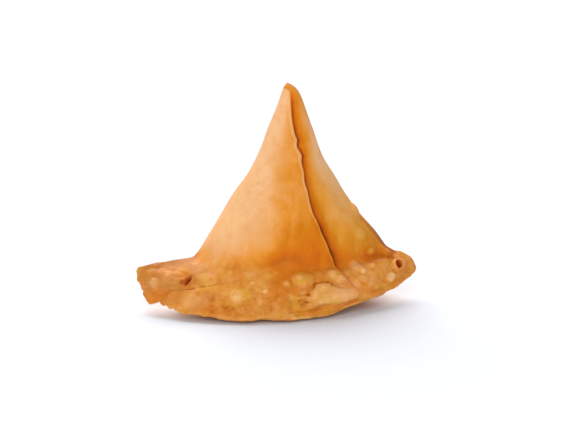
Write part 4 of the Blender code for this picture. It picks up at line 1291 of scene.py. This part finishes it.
def crust_material():
    """Fried dough. Its tone follows the place, which carries painted sheen, shade and highlights besides
    the frying, and broad blotches, mottling and grain; blisters are paler and yellower, partly as painted
    highlight; valleys are darker and ridges paler as painted shade and highlight; the hollows get a painted
    dark red shade; and the cut ends of the dough are paler, partly as painted highlight. Fine noise gives
    it its skin."""
    look = Look("fried crust")
    place = look.place()
    upright = look.place((1.0, 1.0, 0.35))
    rim = look.attribute("rim")
    relief = look.attribute("relief")
    pale = look.attribute("pale")
    blotches = look.swing(place, 75.0, 2.0, 0.5, 0.5)
    panels = look.swing(upright, 120.0, 3.0, 0.6, 0.8)
    streaks = look.swing(upright, 260.0, 2.0, 0.5)
    mottle = look.swing(place, 380.0, 3.0, 0.6)
    grain = look.swing(place, 1600.0, 2.0, 0.6)
    specks = look.band(look.cells(place, 480.0), 0.12, 0.26, 1.0, 0.0)
    # Painted shade in the valleys and painted highlight on the ridges of the relief.
    valley = look.band(relief, -0.1, -0.9)
    ridge = look.band(relief, 0.1, 1.0)
    rim_mottle = look.math("MULTIPLY", mottle, look.math("MULTIPLY_ADD", rim, 0.55, 0.12))
    tone = look.total(
        look.attribute("tone"),
        (blotches, 0.26),
        (panels, 0.32),
        (streaks, 0.22),
        (rim_mottle, 1.0),
        (grain, 0.08),
        (specks, -0.04),
        (valley, 0.09),
        (ridge, -0.06),
        (pale, -0.38),
        # Painted shade in the hollows.
        (look.attribute("dark"), 0.40),
        # Paler strip along the lap's end: partly paler cut dough and partly painted highlight.
        (look.attribute("lap_edge"), -0.24),
        # Paler open edge: partly paler cut dough and partly painted highlight over the shade of its
        # down-facing roll.
        (look.attribute("open_edge"), -0.22),
    )
    colour = look.blend(rim, look.ramp(tone, CONE_FRIED), look.ramp(tone, RIM_FRIED))
    colour = look.blend(look.attribute("brown"), colour, EAR_BROWN)
    patchy = look.math("MULTIPLY_ADD", rim, 0.7, 0.3)
    patchy = look.math("MULTIPLY", patchy, look.band(tone, 0.68, 0.50))
    patches = [
        (PINK_TAN, look.noise(place, 300.0, 2.0, 0.5, 0.6), "pink", 0.36, 0.70),
        (BLISTER_YELLOW, look.noise(place, 270.0, 2.0, 0.5, 0.6), "yellow", 0.34, 0.60),
        (DEEP_ORANGE, look.noise(place, 320.0, 2.0, 0.5, 0.6), "orange", 0.45, 0.80),
    ]
    for tint, noise, name, most, marked in patches:
        scattered = look.math("MULTIPLY", look.band(noise, 0.50, 0.66, 0.0, most), patchy)
        share = look.math("MULTIPLY_ADD", look.attribute(name), marked, scattered)
        colour = look.blend(look.math("MINIMUM", share, 1.0), colour, tint)
    # Palest blister tops: partly paler dough and partly painted highlight.
    colour = look.blend(look.band(pale, 0.60, 1.0, 0.0, 0.40), colour, PALE_TOP_AND_HIGHLIGHT)
    # Painted dark red shade in the hollows.
    colour = look.blend(look.attribute("dark"), colour, HOLLOW_SHADE_RED)
    look.feed(look.surface.inputs["Base Color"], colour)
    oily = look.total(0.46, (mottle, 0.25), (blotches, 0.15))
    look.feed(look.surface.inputs["Roughness"], oily)
    look.feed(look.surface.inputs["Specular IOR Level"], 0.06)
    fine = look.total(0.0, (mottle, 0.12), (grain, 0.20), (specks, 0.06))
    look.feed(look.surface.inputs["Normal"], look.bump(fine, 0.0003, 0.3))
    return look.material


def floor_material():
    """Plain pale matt floor."""
    look = Look("pale floor")
    place = look.place()
    look.feed(look.surface.inputs["Base Color"], look.ramp(look.noise(place, FLOOR_NOISE), FLOOR_SHADES))
    look.feed(look.surface.inputs["Roughness"], 0.9)
    return look.material


def add_object(name, data):
    """A new object in the scene that holds the data."""
    thing = bpy.data.objects.new(name, data)
    bpy.context.scene.collection.objects.link(thing)
    return thing


def make_floor():
    """A wide flat sheet at height 0."""
    half = FLOOR_HALF
    corners = [(-half, -half, 0.0), (half, -half, 0.0), (half, half, 0.0), (-half, half, 0.0)]
    mesh = bpy.data.meshes.new("floor")
    mesh.from_pydata(corners, [], [(0, 1, 2, 3)])
    mesh.materials.append(floor_material())
    floor = add_object("floor", mesh)


def make_light():
    """A wide soft lamp from the front and one from overhead, and an even pale sky."""
    for name, come_from, strength, width in LAMPS:
        lamp = bpy.data.lights.new(name, "SUN")
        lamp.energy = strength
        lamp.angle = math.radians(width)
        light = add_object(name, lamp)
        light.rotation_euler = Vector(come_from).to_track_quat("Z", "Y").to_euler()
    world = bpy.data.worlds.new("pale sky")
    world.use_nodes = True
    bpy.context.scene.world = world
    nodes = world.node_tree.nodes
    links = world.node_tree.links
    path = nodes.new("ShaderNodeLightPath")
    seen = nodes.new("ShaderNodeMapRange")
    seen.inputs["To Min"].default_value = SKY_STRENGTH
    seen.inputs["To Max"].default_value = SKY_SEEN
    links.new(path.outputs["Is Camera Ray"], seen.inputs["Value"])
    links.new(seen.outputs["Result"], nodes["Background"].inputs["Strength"])
    tint = nodes.new("ShaderNodeMix")
    tint.data_type = "RGBA"
    links.new(path.outputs["Is Camera Ray"], tint.inputs[0])
    colours = [socket for socket in tint.inputs if socket.type == "RGBA"]
    colours[0].default_value = SKY_COLOUR
    colours[1].default_value = SKY_SEEN_COLOUR
    tinted = [socket for socket in tint.outputs if socket.type == "RGBA"][0]
    links.new(tinted, nodes["Background"].inputs["Color"])


def make_camera():
    """The camera, aimed at the piece and shifted so that it stands in its place in the frame."""
    lens = bpy.data.cameras.new("camera")
    camera = add_object("camera", lens)
    tilt = math.radians(VIEW_TILT)
    back = Vector((0.0, -math.cos(tilt), math.sin(tilt)))
    camera.location = Vector(CAMERA_TARGET) + back * CAMERA_AWAY
    camera.rotation_mode = "QUATERNION"
    camera.rotation_quaternion = (-back).to_track_quat("-Z", "Y")
    wide, high = IMAGE
    lens.lens = lens.sensor_width * CAMERA_AWAY / (wide * PIXEL)
    lens.clip_start = 0.01
    target_row = TARGET_PIXEL[1] - TARGET_FORWARD * math.sin(tilt) / PIXEL
    lens.shift_x = (wide / 2.0 - TARGET_PIXEL[0]) / wide
    lens.shift_y = (target_row - high / 2.0) / wide
    bpy.context.scene.camera = camera


def main():
    """Builds the crust, the floor, the lights and the camera."""
    points, index, values = skin()
    points = fit_box(points, *CAD_BOX)
    crust = add_object("samosa_crust", skin_mesh("samosa_crust", points, index, values))
    crust.data.materials.append(crust_material())
    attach(crust, "root")
    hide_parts("samosa")
    make_floor()
    make_light()
    make_camera()
    bpy.context.scene.view_settings.view_transform = "Standard"


main()
